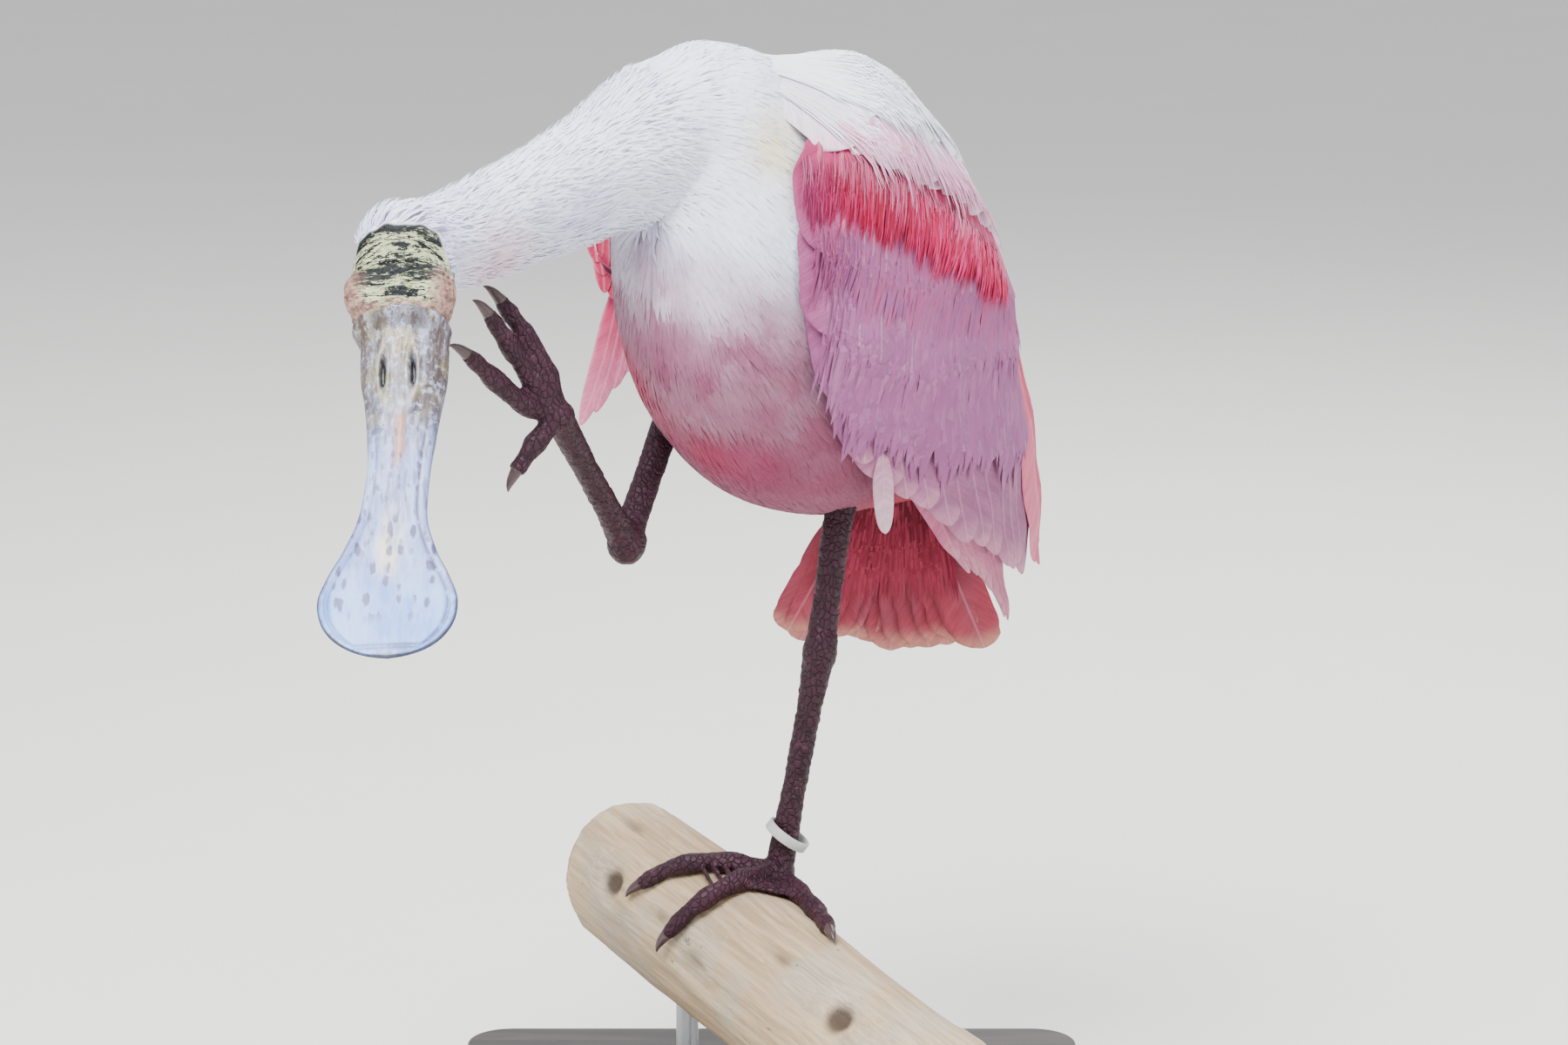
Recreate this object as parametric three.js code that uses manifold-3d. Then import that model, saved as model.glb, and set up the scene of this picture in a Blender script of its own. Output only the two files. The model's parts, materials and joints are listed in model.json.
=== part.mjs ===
// Roseate spoonbill on a cut length of log, life size, as a museum model on a plain stand.
// It stands on its left leg and reaches under its lowered head with the right foot.
// Millimetres, +Z up, origin at the middle of the base's underside, front of the view at -Y.

import * as THREE from 'three';
import { mergeVertices } from 'three/addons/utils/BufferGeometryUtils.js';
import Module from 'manifold-3d';

const wasm = await Module();
wasm.setup();

// Driving dimensions
const gap = 0.34;              // clearance that touching pieces keep
const bodyCentre = [11, 11, 352];
const bodyHeading = 36;        // degrees that the bird faces away from the viewer, to its right
const bodyPitch = 50;          // chest up
const bodyRoll = 8;            // left side up
const bodyFront = 137;         // from the middle of the body to its front end
const bodyBack = -138;
const hullSquareness = 0.87;   // of the upper half of the body's sections, 1 for an ellipse
const hullArc = 1.3;           // mm along the side of the body for one degree round it
const wingThickness = 14;
const tailLength = 110;
const tailFan = 17;            // degrees each side of the tail's middle
const tailSwing = 22;          // degrees towards the bird's right
const tailDrop = 12;
const tailTwist = 16;          // its right side lower
const headCentre = [-145.3, -167.6, 385.1];
const headYaw = -89.3;
const headPitch = 41.6;
const headRoll = 3.3;
const headWidth = 38;
const headBack = -42;          // back of the skull, from the middle between the eyes
const billStart = 20;          // forehead, from the middle between the eyes
const billLength = 147;
const billSpoonWidth = 53.5;
const mouthHeight = -8;        // level at which the two halves of the bill meet
const eyeRadius = 6.4;
const neckRadius = 20;
const tibiaRadius = 5.6;
const tarsusRadius = 5.3;
const ankleRadius = 9;
const toeRadius = 4.6;
const clawLength = 9;
const logRadius = 33;
const logTurn = 60;            // degrees from the X axis towards the viewer
const logSlope = 8;            // near end down
const logHeight = 66;          // height of the log's middle line under the foot
const logBackReach = -106;
const logFrontReach = 190;
const logOffset = 16;          // the foot stands this far behind the log's top line
const baseLength = 280;
const baseWidth = 220;
const baseThickness = 16;
const standRise = 20;          // how far the foot's level is raised so that the log clears the base
const baseCorner = 20;
const rodRadius = 5;
const rodSpread = 48;          // distance along the log from the foot to each rod
const flangeRadius = 14;
const flangeHeight = 4;
const ringInner = 8.9;
const ringWall = 1.4;
const ringHeight = 4.6;
const ringTilt = 35;

const rad = THREE.MathUtils.degToRad;
const lerp = THREE.MathUtils.lerp;
const vec = (x, y, z) => new THREE.Vector3(x, y, z);

// A fixed sequence of random numbers, so that every build is the same
let seed = 41;
function random() {
  seed = (seed * 16807) % 2147483647;
  return seed / 2147483647;
}
const vary = (amount) => (random() * 2 - 1) * amount;

// Value between the entries of an even or keyed list
function along(list, k) {
  const place = THREE.MathUtils.clamp(k, 0, 1) * (list.length - 1);
  const index = Math.min(Math.floor(place), list.length - 2);
  return list[index].map((value, n) => lerp(value, list[index + 1][n], place - index));
}

function keyed(table, x) {
  let index = 0;
  while (index < table.length - 2 && x > table[index + 1][0]) {
    index += 1;
  }
  const [from, to] = [table[index], table[index + 1]];
  const k = THREE.MathUtils.clamp((x - from[0]) / (to[0] - from[0]), 0, 1);
  const ease = k * k * (3 - 2 * k);
  const share = 0.5 * (k + ease);
  return from.slice(1).map((value, n) => lerp(value, to[n + 1], share));
}

// Closed solids
function solidFrom(vertices, triangles) {
  const vertProperties = new Float32Array(vertices.flatMap((p) => [p.x, p.y, p.z]));
  const volume = triangles.reduce((sum, [a, b, c]) => {
    const cross = vertices[b].clone().cross(vertices[c]);
    return sum + vertices[a].dot(cross);
  }, 0);
  const facing = volume < 0 ? triangles.map(([a, b, c]) => [a, c, b]) : triangles;
  const triVerts = new Uint32Array(facing.flat());
  return new wasm.Manifold(new wasm.Mesh({ numProp: 3, vertProperties, triVerts }));
}

function solidOf(geometry, matrix) {
  const plain = geometry.clone();
  plain.deleteAttribute('normal');
  plain.deleteAttribute('uv');
  plain.applyMatrix4(matrix ?? new THREE.Matrix4());
  const merged = mergeVertices(plain, 1e-4);
  const vertProperties = new Float32Array(merged.attributes.position.array);
  const triVerts = new Uint32Array(merged.index.array);
  return new wasm.Manifold(new wasm.Mesh({ numProp: 3, vertProperties, triVerts }));
}

function union(solids) {
  return wasm.Manifold.union(solids);
}

function largest(solid) {
  const pieces = solid.decompose();
  return pieces.reduce((best, piece) => (piece.volume() > best.volume() ? piece : best));
}

function cut(solid, ...others) {
  return largest(others.reduce((rest, other) => rest.subtract(other), solid));
}

// Rings of equal count joined into a skin, closed at both ends by a fan
function loft(rings) {
  const count = rings[0].length;
  const vertices = rings.flat();
  const triangles = [];
  for (let i = 0; i < rings.length - 1; i += 1) {
    for (let j = 0; j < count; j += 1) {
      const next = (j + 1) % count;
      const [a, b] = [i * count + j, i * count + next];
      triangles.push([a, b, b + count], [a, b + count, a + count]);
    }
  }
  [0, rings.length - 1].forEach((i) => {
    const middle = rings[i].reduce((sum, p) => sum.add(p), vec(0, 0, 0)).divideScalar(count);
    const centre = vertices.push(middle) - 1;
    for (let j = 0; j < count; j += 1) {
      const [a, b] = [i * count + j, i * count + ((j + 1) % count)];
      triangles.push(i === 0 ? [centre, b, a] : [centre, a, b]);
    }
  });
  return solidFrom(vertices, triangles);
}

// A sheet with a top and a bottom grid, both split the same way
function slab(top, bottom) {
  const [rows, columns] = [top.length, top[0].length];
  const vertices = [...top.flat(), ...bottom.flat()];
  const half = rows * columns;
  const triangles = [];
  const quad = (a, b, c, d, mirrored) => {
    if (mirrored) {
      triangles.push([a, b, d], [b, c, d]);
    } else {
      triangles.push([a, b, c], [a, c, d]);
    }
  };
  for (let i = 0; i < rows - 1; i += 1) {
    for (let j = 0; j < columns - 1; j += 1) {
      const a = i * columns + j;
      const mirrored = j >= (columns - 1) / 2;
      quad(a, a + 1, a + columns + 1, a + columns, mirrored);
      const b = a + half;
      if (mirrored) {
        triangles.push([b, b + columns, b + 1], [b + 1, b + columns, b + columns + 1]);
      } else {
        triangles.push([b, b + columns + 1, b + 1], [b, b + columns, b + columns + 1]);
      }
    }
  }
  for (let i = 0; i < rows - 1; i += 1) {
    const left = i * columns;
    const right = left + columns - 1;
    triangles.push([left, left + columns, left + half]);
    triangles.push([left + columns, left + columns + half, left + half]);
    triangles.push([right, right + half, right + columns]);
    triangles.push([right + columns, right + half, right + columns + half]);
  }
  for (let j = 0; j < columns - 1; j += 1) {
    const last = (rows - 1) * columns + j;
    triangles.push([j, j + half, j + 1], [j + 1, j + half, j + half + 1]);
    triangles.push([last, last + 1, last + half], [last + 1, last + half + 1, last + half]);
  }
  return solidFrom(vertices, triangles);
}

// A round rod with a radius at each of its points, smoothed along a curve
function tube(points, radii, { sides, steps, grow = 0 }) {
  const up = vec(0.2, -0.3, 1);
  const curve = new THREE.CatmullRomCurve3(points.map((p) => vec(...p)), false, 'centripetal');
  const rings = [];
  for (let i = 0; i <= steps; i += 1) {
    const k = i / steps;
    const centre = curve.getPoint(k);
    const forward = curve.getTangent(k);
    const side = forward.clone().cross(up).normalize();
    const top = side.clone().cross(forward);
    const [radius] = along(radii.map((r) => [r]), k);
    const ring = [];
    for (let j = 0; j < sides; j += 1) {
      const angle = (j / sides) * Math.PI * 2;
      const across = side.clone().multiplyScalar(Math.cos(angle) * (radius + grow));
      const rise = top.clone().multiplyScalar(Math.sin(angle) * (radius + grow));
      ring.push(centre.clone().add(across).add(rise));
    }
    rings.push(ring);
  }
  return loft(rings);
}

// The frames that pieces are placed in
const spoonbill = new THREE.Group();
const model = new THREE.Group();   // everything in the frame whose level is the foot's on a low base
const body = new THREE.Group();
body.position.set(...bodyCentre);
body.rotation.set(rad(bodyRoll), rad(-bodyPitch), rad(-90 - bodyHeading), 'ZYX');
const head = new THREE.Group();
head.position.set(...headCentre);
head.rotation.set(rad(headRoll), rad(headPitch), rad(headYaw), 'ZYX');
const legs = new THREE.Group();
const stand = new THREE.Group();
model.add(body, head, legs, stand);
model.updateMatrixWorld(true);
const bodyPoint = (x, y, z) => vec(x, y, z).applyMatrix4(body.matrixWorld);
const headPoint = (x, y, z) => vec(x, y, z).applyMatrix4(head.matrixWorld);

function ellipsoid(frame, centre, radii, detail = 14) {
  const shape = new THREE.SphereGeometry(1, detail, Math.round(detail * 0.7));
  const place = new THREE.Matrix4().makeTranslation(...centre);
  place.multiply(new THREE.Matrix4().makeScale(...radii));
  return solidOf(shape, frame.matrixWorld.clone().multiply(place));
}

// Torso, as rings from the rump to the neck's root: x, half width, top, bottom, widest level
const torsoRings = [
  [bodyBack, 14, 24, 4, 14],
  [-122, 26, 32, -10, 12],
  [-98, 43, 51, -34, 8],
  [-68, 54, 65, -62, 2],
  [-30, 62, 77, -84, -2],
  [8, 63, 81, -93, -4],
  [44, 59, 80, -91, -2],
  [76, 52, 69, -75, 2],
  [102, 42, 52, -48, 4],
  [122, 32, 40, -24, 8],
  [bodyFront, 16, 28, 0, 13],
];
function torso(grow) {
  const sides = 22;
  const rings = torsoRings.map(([x, width, top, bottom, level], i) => {
    const reach = x + grow * (i === 0 ? -1 : i === torsoRings.length - 1 ? 1 : 0);
    const ring = [];
    for (let j = 0; j < sides; j += 1) {
      const angle = (j / sides) * Math.PI * 2;
      const squareness = Math.sin(angle) > 0 ? hullSquareness : 1;
      const rise = Math.sign(Math.sin(angle)) * Math.abs(Math.sin(angle)) ** squareness;
      const across = Math.sign(Math.cos(angle)) * Math.abs(Math.cos(angle)) ** squareness;
      const depth = (rise > 0 ? top - level : level - bottom) + grow;
      ring.push(bodyPoint(reach, across * (width + grow), level + rise * depth));
    }
    return ring;
  });
  return loft(rings);
}

// Outside of the folded wings round the body: x, half width, half height
const hullTable = [
  [-225, 32, 26],
  [-180, 50, 40],
  [-140, 64, 55],
  [-100, 74, 70],
  [-60, 79, 82],
  [-20, 80, 91],
  [20, 78, 94],
  [60, 71, 91],
  [100, 56, 76],
  [128, 34, 52],
];

// How a wing is held: degrees and distance that it hangs lower and further out near one place
// along the body, and degrees that the rest of it is tucked up, and its tip raised over the tail
const folded = { droop: 0, tuck: 0, raise: 0, lift: 0, middle: 0, reach: 1 };
const drooped = { droop: 12, tuck: 18, raise: 40, lift: 18, middle: 62, reach: 52 };

// A point by the body's side: x, distance round it from the side's middle, height off the hull
function wingSurface(side, spread) {
  return (x, round, lift) => {
    const [width, height] = keyed(hullTable, x);
    const held = Math.exp(-(((x - spread.middle) / spread.reach) ** 2));
    const raised = spread.raise * THREE.MathUtils.smoothstep(-x, 20, 150);
    const angle = rad(round / hullArc - spread.droop * held + spread.tuck * (1 - held) + raised);
    const low = THREE.MathUtils.smoothstep(-angle, 0, 1);
    const off = lift + spread.lift * held * low;
    const normal = vec(0, Math.cos(angle) / width, Math.sin(angle) / height).normalize();
    const y = width * Math.abs(Math.cos(angle)) ** hullSquareness + normal.y * off;
    const z = height * Math.sign(angle) * Math.abs(Math.sin(angle)) ** hullSquareness + normal.z * off;
    return bodyPoint(x, side * y, z);
  };
}

// One feather vane on a surface, from its root to its tip
const vaneStations = [[0, 0.6], [0.45, 1], [0.84, 0.86], [1, 0.32]];
const shortStations = [[0, 0.7], [0.62, 1], [1, 0.42]];
function vane(surface, { root, tip, width, lift, slope = 0, bow = 0, short = false, thick = 1.1 }) {
  const edge = 0.62;
  const run = [tip[0] - root[0], tip[1] - root[1]];
  const length = Math.hypot(...run);
  const across = [-run[1] / length, run[0] / length];
  const [top, bottom] = [[], []];
  (short ? shortStations : vaneStations).forEach(([k, share]) => {
    const shift = Math.sin(k * Math.PI) * bow;
    const half = 0.5 * width * share;
    const [topRow, bottomRow] = [[], []];
    [-1, 0, 1].forEach((column) => {
      const out = shift + column * half;
      const u = root[0] + run[0] * k + across[0] * out;
      const v = root[1] + run[1] * k + across[1] * out;
      const middle = lerp(lift[0], lift[1], k) + column * half * slope;
      const depth = column === 0 ? thick : edge;
      topRow.push(surface(u, v, middle + depth / 2));
      bottomRow.push(surface(u, v, middle - depth / 2));
    });
    top.push(topRow);
    bottom.push(bottomRow);
  });
  return slab(top, bottom);
}

// A row of vanes whose roots and tips follow two lines
function tier(surface, row) {
  const vanes = [];
  for (let i = 0; i < row.count; i += 1) {
    const k = row.count === 1 ? 0.5 : i / (row.count - 1);
    const root = along(row.roots, k);
    const tip = along(row.tips, k);
    const stretch = 1 + vary(row.uneven ?? 0.03);
    const end = root.map((value, n) => value + (tip[n] - value) * stretch);
    const [width] = along(row.widths.map((w) => [w]), k);
    vanes.push(vane(surface, { ...row, root, tip: end, width }));
  }
  return vanes;
}

// Folded wing: a core over the forearm, and tiers that run back from it. The core's rows go from
// the wrist to the elbow, and its columns from the upper edge to the lower edge.
const forearm = [[84, -24], [52, -12], [10, 14], [-44, 42]];
const coreSection = [[-46, -3], [-30, -1], [-12, 0], [6, -2.5], [19, -8], [27, -12]];
const wingRows = {
  primaries: {
    count: 5,
    roots: [[40, -34], [20, -22]],
    tips: [[-128, -62], [-166, -50], [-202, -36]],
    widths: [20, 22],
    lift: [-13, -12.4],
    slope: -0.11,
    bow: 3,
  },
  secondaries: {
    count: 7,
    roots: [[70, -38], [38, -16], [-2, 12], [-34, 34]],
    tips: [[-20, -70], [-62, -62], [-112, -48], [-152, -28], [-174, -8]],
    widths: [28, 33],
    lift: [-9, -8.2],
    slope: -0.1,
    bow: 3,
  },
  tertials: {
    count: 3,
    roots: [[-22, 30], [-40, 62]],
    tips: [[-176, 4], [-176, 26], [-148, 56]],
    widths: [28, 32],
    lift: [-5, -4.4],
    slope: -0.1,
    bow: -2,
  },
  greaterCoverts: {
    count: 7,
    roots: [[70, -38], [40, -16], [0, 12], [-30, 32]],
    tips: [[14, -58], [-26, -44], [-68, -18], [-98, 8]],
    widths: [25, 28],
    lift: [-5, -4.4],
    slope: -0.1,
    short: true,
  },
  medianCoverts: {
    count: 6,
    roots: [[76, -28], [48, -8], [10, 18], [-26, 40]],
    tips: [[38, -44], [4, -28], [-32, 0], [-62, 22]],
    widths: [25, 28],
    lift: [-1.6, -1],
    slope: -0.1,
    short: true,
  },
  lesserCoverts: {
    count: 6,
    roots: [[88, -14], [62, 2], [22, 28], [-16, 52]],
    tips: [[60, -28], [28, -8], [-8, 18], [-40, 40]],
    widths: [23, 26],
    lift: [0.4, 2.4],
    slope: -0.08,
    short: true,
  },
  scapulars: {
    count: 6,
    roots: [[90, 14], [68, 38], [34, 66], [6, 96]],
    tips: [[52, 8], [14, 28], [-30, 56], [-76, 84]],
    widths: [28, 34],
    lift: [-1, 4.4],
    slope: -0.08,
    short: true,
    thick: 1.6,
  },
};

function wingCore(surface) {
  const [top, bottom] = [[], []];
  const steps = 8;
  for (let i = 0; i <= steps; i += 1) {
    const k = i / steps;
    const [x, round] = along(forearm, k);
    const end = Math.sin(Math.PI * THREE.MathUtils.clamp(0.12 + 0.76 * k, 0, 1));
    const fullness = Math.min(1, 0.55 + 0.75 * end);
    const [topRow, bottomRow] = [[], []];
    coreSection.forEach(([out, height]) => {
      const u = x - 0.5 * out * fullness;
      const v = round - 0.86 * out * fullness;
      topRow.push(surface(u, v, height * 1.2 - (1 - fullness) * 4));
      bottomRow.push(surface(u, v, -wingThickness - 6));
    });
    top.push(topRow);
    bottom.push(bottomRow);
  }
  return slab(top, bottom);
}

function wing(side, spread) {
  const surface = wingSurface(side, spread);
  const vanes = Object.values(wingRows).flatMap((row) => tier(surface, row));
  return union([wingCore(surface), ...vanes]);
}

// Tail: a stub of coverts with twelve vanes, the middle pair uppermost
const tailRoot = [-112, -2, 13];
function tailSurface(away, across, lift) {
  const swing = rad(tailSwing);
  const drop = rad(tailDrop);
  const twist = rad(tailTwist);
  const y = across * Math.cos(twist) + lift * Math.sin(twist);
  const rise = lift * Math.cos(twist) - across * Math.sin(twist);
  const x = -away * Math.cos(drop) + rise * Math.sin(drop);
  const z = -away * Math.sin(drop) + rise * Math.cos(drop);
  const forward = x * Math.cos(swing) + y * Math.sin(swing);
  const left = x * Math.sin(swing) - y * Math.cos(swing);
  return bodyPoint(tailRoot[0] + forward, tailRoot[1] + left, tailRoot[2] + z);
}

function fanPoint(distance, angle) {
  return [distance * Math.cos(rad(angle)), distance * Math.sin(rad(angle))];
}

// Stub: distance from the root, half width, half depth. Coverts: face, height at the root and the tip.
const tailStub = [[-6, 24, 13], [12, 27, 12], [30, 27, 9], [44, 25, 5], [52, 20, 2.4]];
const tailCoverts = [[1, 7.6, 5.4], [-1, -7, -8.6]];
const tailVanes = 12;
const covertVanes = 4;
function tail() {
  const sides = 14;
  const rings = tailStub.map(([x, wide, deep]) => {
    const ring = [];
    for (let j = 0; j < sides; j += 1) {
      const angle = (j / sides) * Math.PI * 2;
      ring.push(tailSurface(x, wide * Math.cos(angle), deep * Math.sin(angle)));
    }
    return ring;
  });
  const pieces = [loft(rings)];
  for (let i = 0; i < tailVanes; i += 1) {
    const place = (2 * i) / (tailVanes - 1) - 1;
    const outward = Math.abs(place);
    const angle = place * tailFan;
    const length = tailLength + 14 - outward * 9 + vary(2);
    const lift = 3 - outward * 8 + (place > 0 ? 1.4 : 0);
    pieces.push(vane(tailSurface, {
      root: [22, place * 13],
      tip: fanPoint(length, angle).map((value, n) => value + (n === 1 ? place * 12 : 0)),
      width: 25,
      lift: [lift * 0.85, lift],
      slope: place > 0 ? -0.02 : 0.02,
    }));
  }
  tailCoverts.forEach(([face, rootLift, tipLift]) => {
    for (let i = 0; i < covertVanes; i += 1) {
      const place = (2 * i) / (covertVanes - 1) - 1;
      pieces.push(vane(tailSurface, {
        root: [14, place * 15],
        tip: [72 - Math.abs(place) * 10, place * 27],
        width: 24,
        lift: [rootLift * 0.8, tipLift + face * (1 - Math.abs(place)) * 2.4],
        slope: (place > 0 ? -0.12 : 0.12) * face,
        short: true,
      }));
    }
  });
  return union(pieces);
}

// Head: x, half width, half depth, height of middle
const headRings = [
  [headBack, 9, 9, -3],
  [-37, 14, 14, -2],
  [-28, 17.6, 17.4, -1.4],
  [-16, 19.2, 19.6, -2.6],
  [-4, headWidth / 2, 20, -4.6],
  [6, 18.4, 19, -6],
  [14, 17.6, 16.8, -6.8],
  [billStart, 17.2, 14.2, -6.8],
];
function headSkin(grow) {
  const sides = 20;
  const rings = headRings.map(([x, width, depth, middle], i) => {
    const reach = x + grow * (i === 0 ? -1 : i === headRings.length - 1 ? 1 : 0);
    const ring = [];
    for (let j = 0; j < sides; j += 1) {
      const angle = (j / sides) * Math.PI * 2;
      const across = Math.cos(angle) * (width + grow);
      ring.push(headPoint(reach, across, middle + Math.sin(angle) * (depth + grow)));
    }
    return ring;
  });
  return loft(rings);
}

const eyePlace = (side) => [0, side * 14.4, 2];
function eyeBall(side, grow) {
  const radius = eyeRadius + grow;
  return ellipsoid(head, eyePlace(side), [radius, radius, radius], 13);
}

function eyeLids(side) {
  const lid = new THREE.TorusGeometry(eyeRadius - 0.5, 1.9, 5, 12);
  const place = new THREE.Matrix4().makeTranslation(0, side * 17.6, 2);
  place.multiply(new THREE.Matrix4().makeRotationX(rad(90)));
  return solidOf(lid, head.matrixWorld.clone().multiply(place));
}

function headSolid() {
  const sides = [1, -1];
  const brows = sides.map((side) => ellipsoid(head, [1, side * 13, 5], [12, 6.4, 8.4], 10));
  const mouthCorners = sides.map((side) => {
    const corner = [11, side * 18.4, mouthHeight];
    return ellipsoid(head, corner, [8.4, 3.4, 0.7], 8);
  });
  const skin = union([headSkin(0), ...brows, ...sides.map(eyeLids)]);
  return cut(skin, eyeBall(1, gap), eyeBall(-1, gap), ...mouthCorners);
}

// Bill, as shares of its length: half width, top, bottom, sideways place
const billShape = [
  [0, 17.4, 7.2, -20.4, 1.6],
  [0.1, 17, 5.2, -19.2, 1.8],
  [0.2, 15, 1.4, -16.6, 2],
  [0.3, 13.4, -1.6, -14.4, 1.8],
  [0.42, 12.2, -3.8, -12.6, 1.2],
  [0.54, 12.9, -4.8, -11.6, 0],
  [0.66, 17.6, -5.4, -11, -0.8],
  [0.75, 23.4, -5.8, -10.7, -1],
  [0.83, billSpoonWidth / 2, -6, -10.4, -0.8],
  [0.91, 24.2, -6.2, -10.2, -0.4],
  [0.965, 16, -6.5, -9.8, 0],
  [1, 5, -6.9, -9.2, 0],
];
function billHalf(face) {
  const inner = mouthHeight + face * 0.5 * gap;
  const steps = 10;
  const rings = billShape.map(([share, width, top, bottom, sway]) => {
    const reach = billStart + gap + share * (billLength - gap);
    const outer = face > 0 ? top : bottom;
    const ring = [];
    for (let j = 0; j <= steps; j += 1) {
      const angle = (j / steps) * Math.PI;
      const rise = Math.sin(angle) ** (share < 0.3 ? 0.9 : 0.7);
      const height = lerp(inner + face * 0.5, outer, rise);
      ring.push(headPoint(reach, sway + Math.cos(angle) * width, height));
    }
    [-0.55, 0, 0.55].forEach((across) => {
      ring.push(headPoint(reach, sway + across * width, inner));
    });
    return ring;
  });
  return loft(rings);
}

// Nostrils: distance along the head's frame, sideways place of their middle, half their spacing
const nostrilPlace = [39, 1.9, 6.4];
function upperBill() {
  const [x, middle, spacing] = nostrilPlace;
  const places = [middle + spacing, middle - spacing];
  const nostrils = places.map((y) => ellipsoid(head, [x, y, 3], [6.6, 1.1, 3.2], 8));
  const rims = places.map((y) => ellipsoid(head, [x, y, 2.4], [8.8, 2.7, 2.4], 8));
  return cut(union([billHalf(1), ...rims]), ...nostrils);
}

// Neck, from inside the back of the head to inside the front of the torso
const neckLine = [
  [-146, -142, 400], [-128, -123, 401], [-100, -99, 410], [-70, -71, 421], [-42, -46, 432], [-16, -20, 424],
];
const neckRadii = [neckRadius - 1, neckRadius + 1, 23.5, 27.5, 36, 40];
const neckSplit = 0.52;
function neckPiece(from, to, grow) {
  const curve = new THREE.CatmullRomCurve3(neckLine.map((p) => vec(...p)), false, 'centripetal');
  const points = [];
  const radii = [];
  for (let i = 0; i <= 6; i += 1) {
    const k = lerp(from, to, i / 6);
    points.push(curve.getPoint(k).toArray());
    radii.push(along(neckRadii.map((r) => [r]), k)[0]);
  }
  return tube(points, radii, { sides: 20, steps: 6, grow });
}

// Perch: a log with a gently uneven side and sawn ends
const logAxis = vec(
  Math.cos(rad(logTurn)) * Math.cos(rad(logSlope)),
  -Math.sin(rad(logTurn)) * Math.cos(rad(logSlope)),
  -Math.sin(rad(logSlope)),
);
const logSide = vec(-Math.sin(rad(logTurn)), -Math.cos(rad(logTurn)), 0);
const logTop = logAxis.clone().cross(logSide).multiplyScalar(-1).normalize();
const logMiddle = logSide.clone().multiplyScalar(logOffset).add(vec(0, 0, logHeight));

// A point by the log: distance along it, degrees from its top towards the viewer's left, radius
function logPoint(distance, angle, radius) {
  const out = logSide.clone().multiplyScalar(Math.sin(rad(angle)));
  out.add(logTop.clone().multiplyScalar(Math.cos(rad(angle))));
  return logMiddle.clone().addScaledVector(logAxis, distance).addScaledVector(out, radius);
}

const perchSides = 20;
function perch(grow) {
  const rings = [];
  const steps = 9;
  for (let i = 0; i <= steps; i += 1) {
    const share = i / steps;
    const distance = lerp(logBackReach - grow, logFrontReach + grow, share);
    const ring = [];
    for (let j = 0; j < perchSides; j += 1) {
      const angle = (j / perchSides) * 360;
      const wide = Math.sin(rad(angle * 2 + 40 + share * 160)) * 0.8;
      const narrow = Math.sin(rad(angle * 3 - share * 420)) * 0.5;
      const swelling = Math.sin(share * 7) * 0.7;
      ring.push(logPoint(distance, angle, logRadius + wide + narrow + swelling + grow));
    }
    rings.push(ring);
  }
  return loft(rings);
}

// Legs. Points are in the order from the body to the foot.
const footPlace = {
  left: logPoint(-3, -27, logRadius + 8).toArray(),
  right: [-86.7, -106.6, 326],
};
const legLines = {
  left: { root: [37, 14, 292], exit: [29, 2, 259], ankle: [21, -6, 202] },
  right: { root: [-26, 20, 345], exit: [-42, -2, 311], ankle: [-61.5, -39, 259] },
};

function tibia(name, grow) {
  const { root, exit, ankle } = legLines[name];
  const radii = [tibiaRadius + 2.4, tibiaRadius + 0.6, tibiaRadius + 0.2];
  return tube([root, exit, ankle], radii, { sides: 10, steps: 5, grow });
}

function ankleJoint(name, grow) {
  const { ankle } = legLines[name];
  const radius = ankleRadius + grow;
  const foot = vec(...footPlace[name]);
  const toFoot = foot.sub(vec(...ankle)).normalize();
  const centre = vec(...ankle).addScaledVector(toFoot, -1);
  const turn = new THREE.Quaternion().setFromUnitVectors(vec(0, 0, -1), toFoot);
  const place = new THREE.Matrix4().compose(centre, turn, vec(radius * 0.86, radius, radius * 1.28));
  return solidOf(new THREE.SphereGeometry(1, 10, 8), place);
}

function tarsus(name, grow) {
  const { ankle } = legLines[name];
  const foot = footPlace[name];
  const radii = [6.4, tarsusRadius, tarsusRadius + 0.3];
  const shaft = tube([ankle, along([ankle, foot], 0.5), foot], radii, { sides: 10, steps: 4, grow });
  return union([shaft, ankleJoint(name, grow)]);
}

// Toes: points from the foot's ball to the tip of each toe
function onLog(steps) {
  return steps.map(([distance, angle, lift]) => {
    const place = logPoint(distance, angle, logRadius + lift);
    return place.toArray();
  });
}

const rightBall = footPlace.right;
const toeLines = {
  left: {
    hind: onLog([[-3, -27, 7], [-5, -58, 5.4], [-9, -86, 4.6]]),
    inner: onLog([[-3, -25, 7], [-16, 2, 5.8], [-30, 28, 5], [-40, 52, 4.4]]),
    middle: onLog([[-2, -24, 7], [4, 10, 5.8], [2, 40, 5.2], [-5, 68, 4.4]]),
    outer: onLog([[-1, -27, 7], [20, -26, 5.8], [42, -20, 5], [60, -12, 4.4]]),
  },
  right: {
    hind: [rightBall, [-95.7, -114.7, 316], [-103, -120.5, 306]],
    inner: [rightBall, [-97.6, -112.9, 344], [-107, -119, 360], [-113.5, -122.5, 371]],
    middle: [rightBall, [-92, -109, 346], [-101, -112, 363], [-109, -113.5, 375]],
    outer: [rightBall, [-100.5, -115.5, 333.4], [-113.9, -125, 347], [-122, -130.5, 356]],
  },
};
const toeNames = ['hind', 'inner', 'middle', 'outer'];

function toe(points) {
  const radii = [toeRadius + 0.4, toeRadius, toeRadius - 0.5, toeRadius - 1.5];
  return tube(points, radii, { sides: 7, steps: 4 });
}

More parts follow.
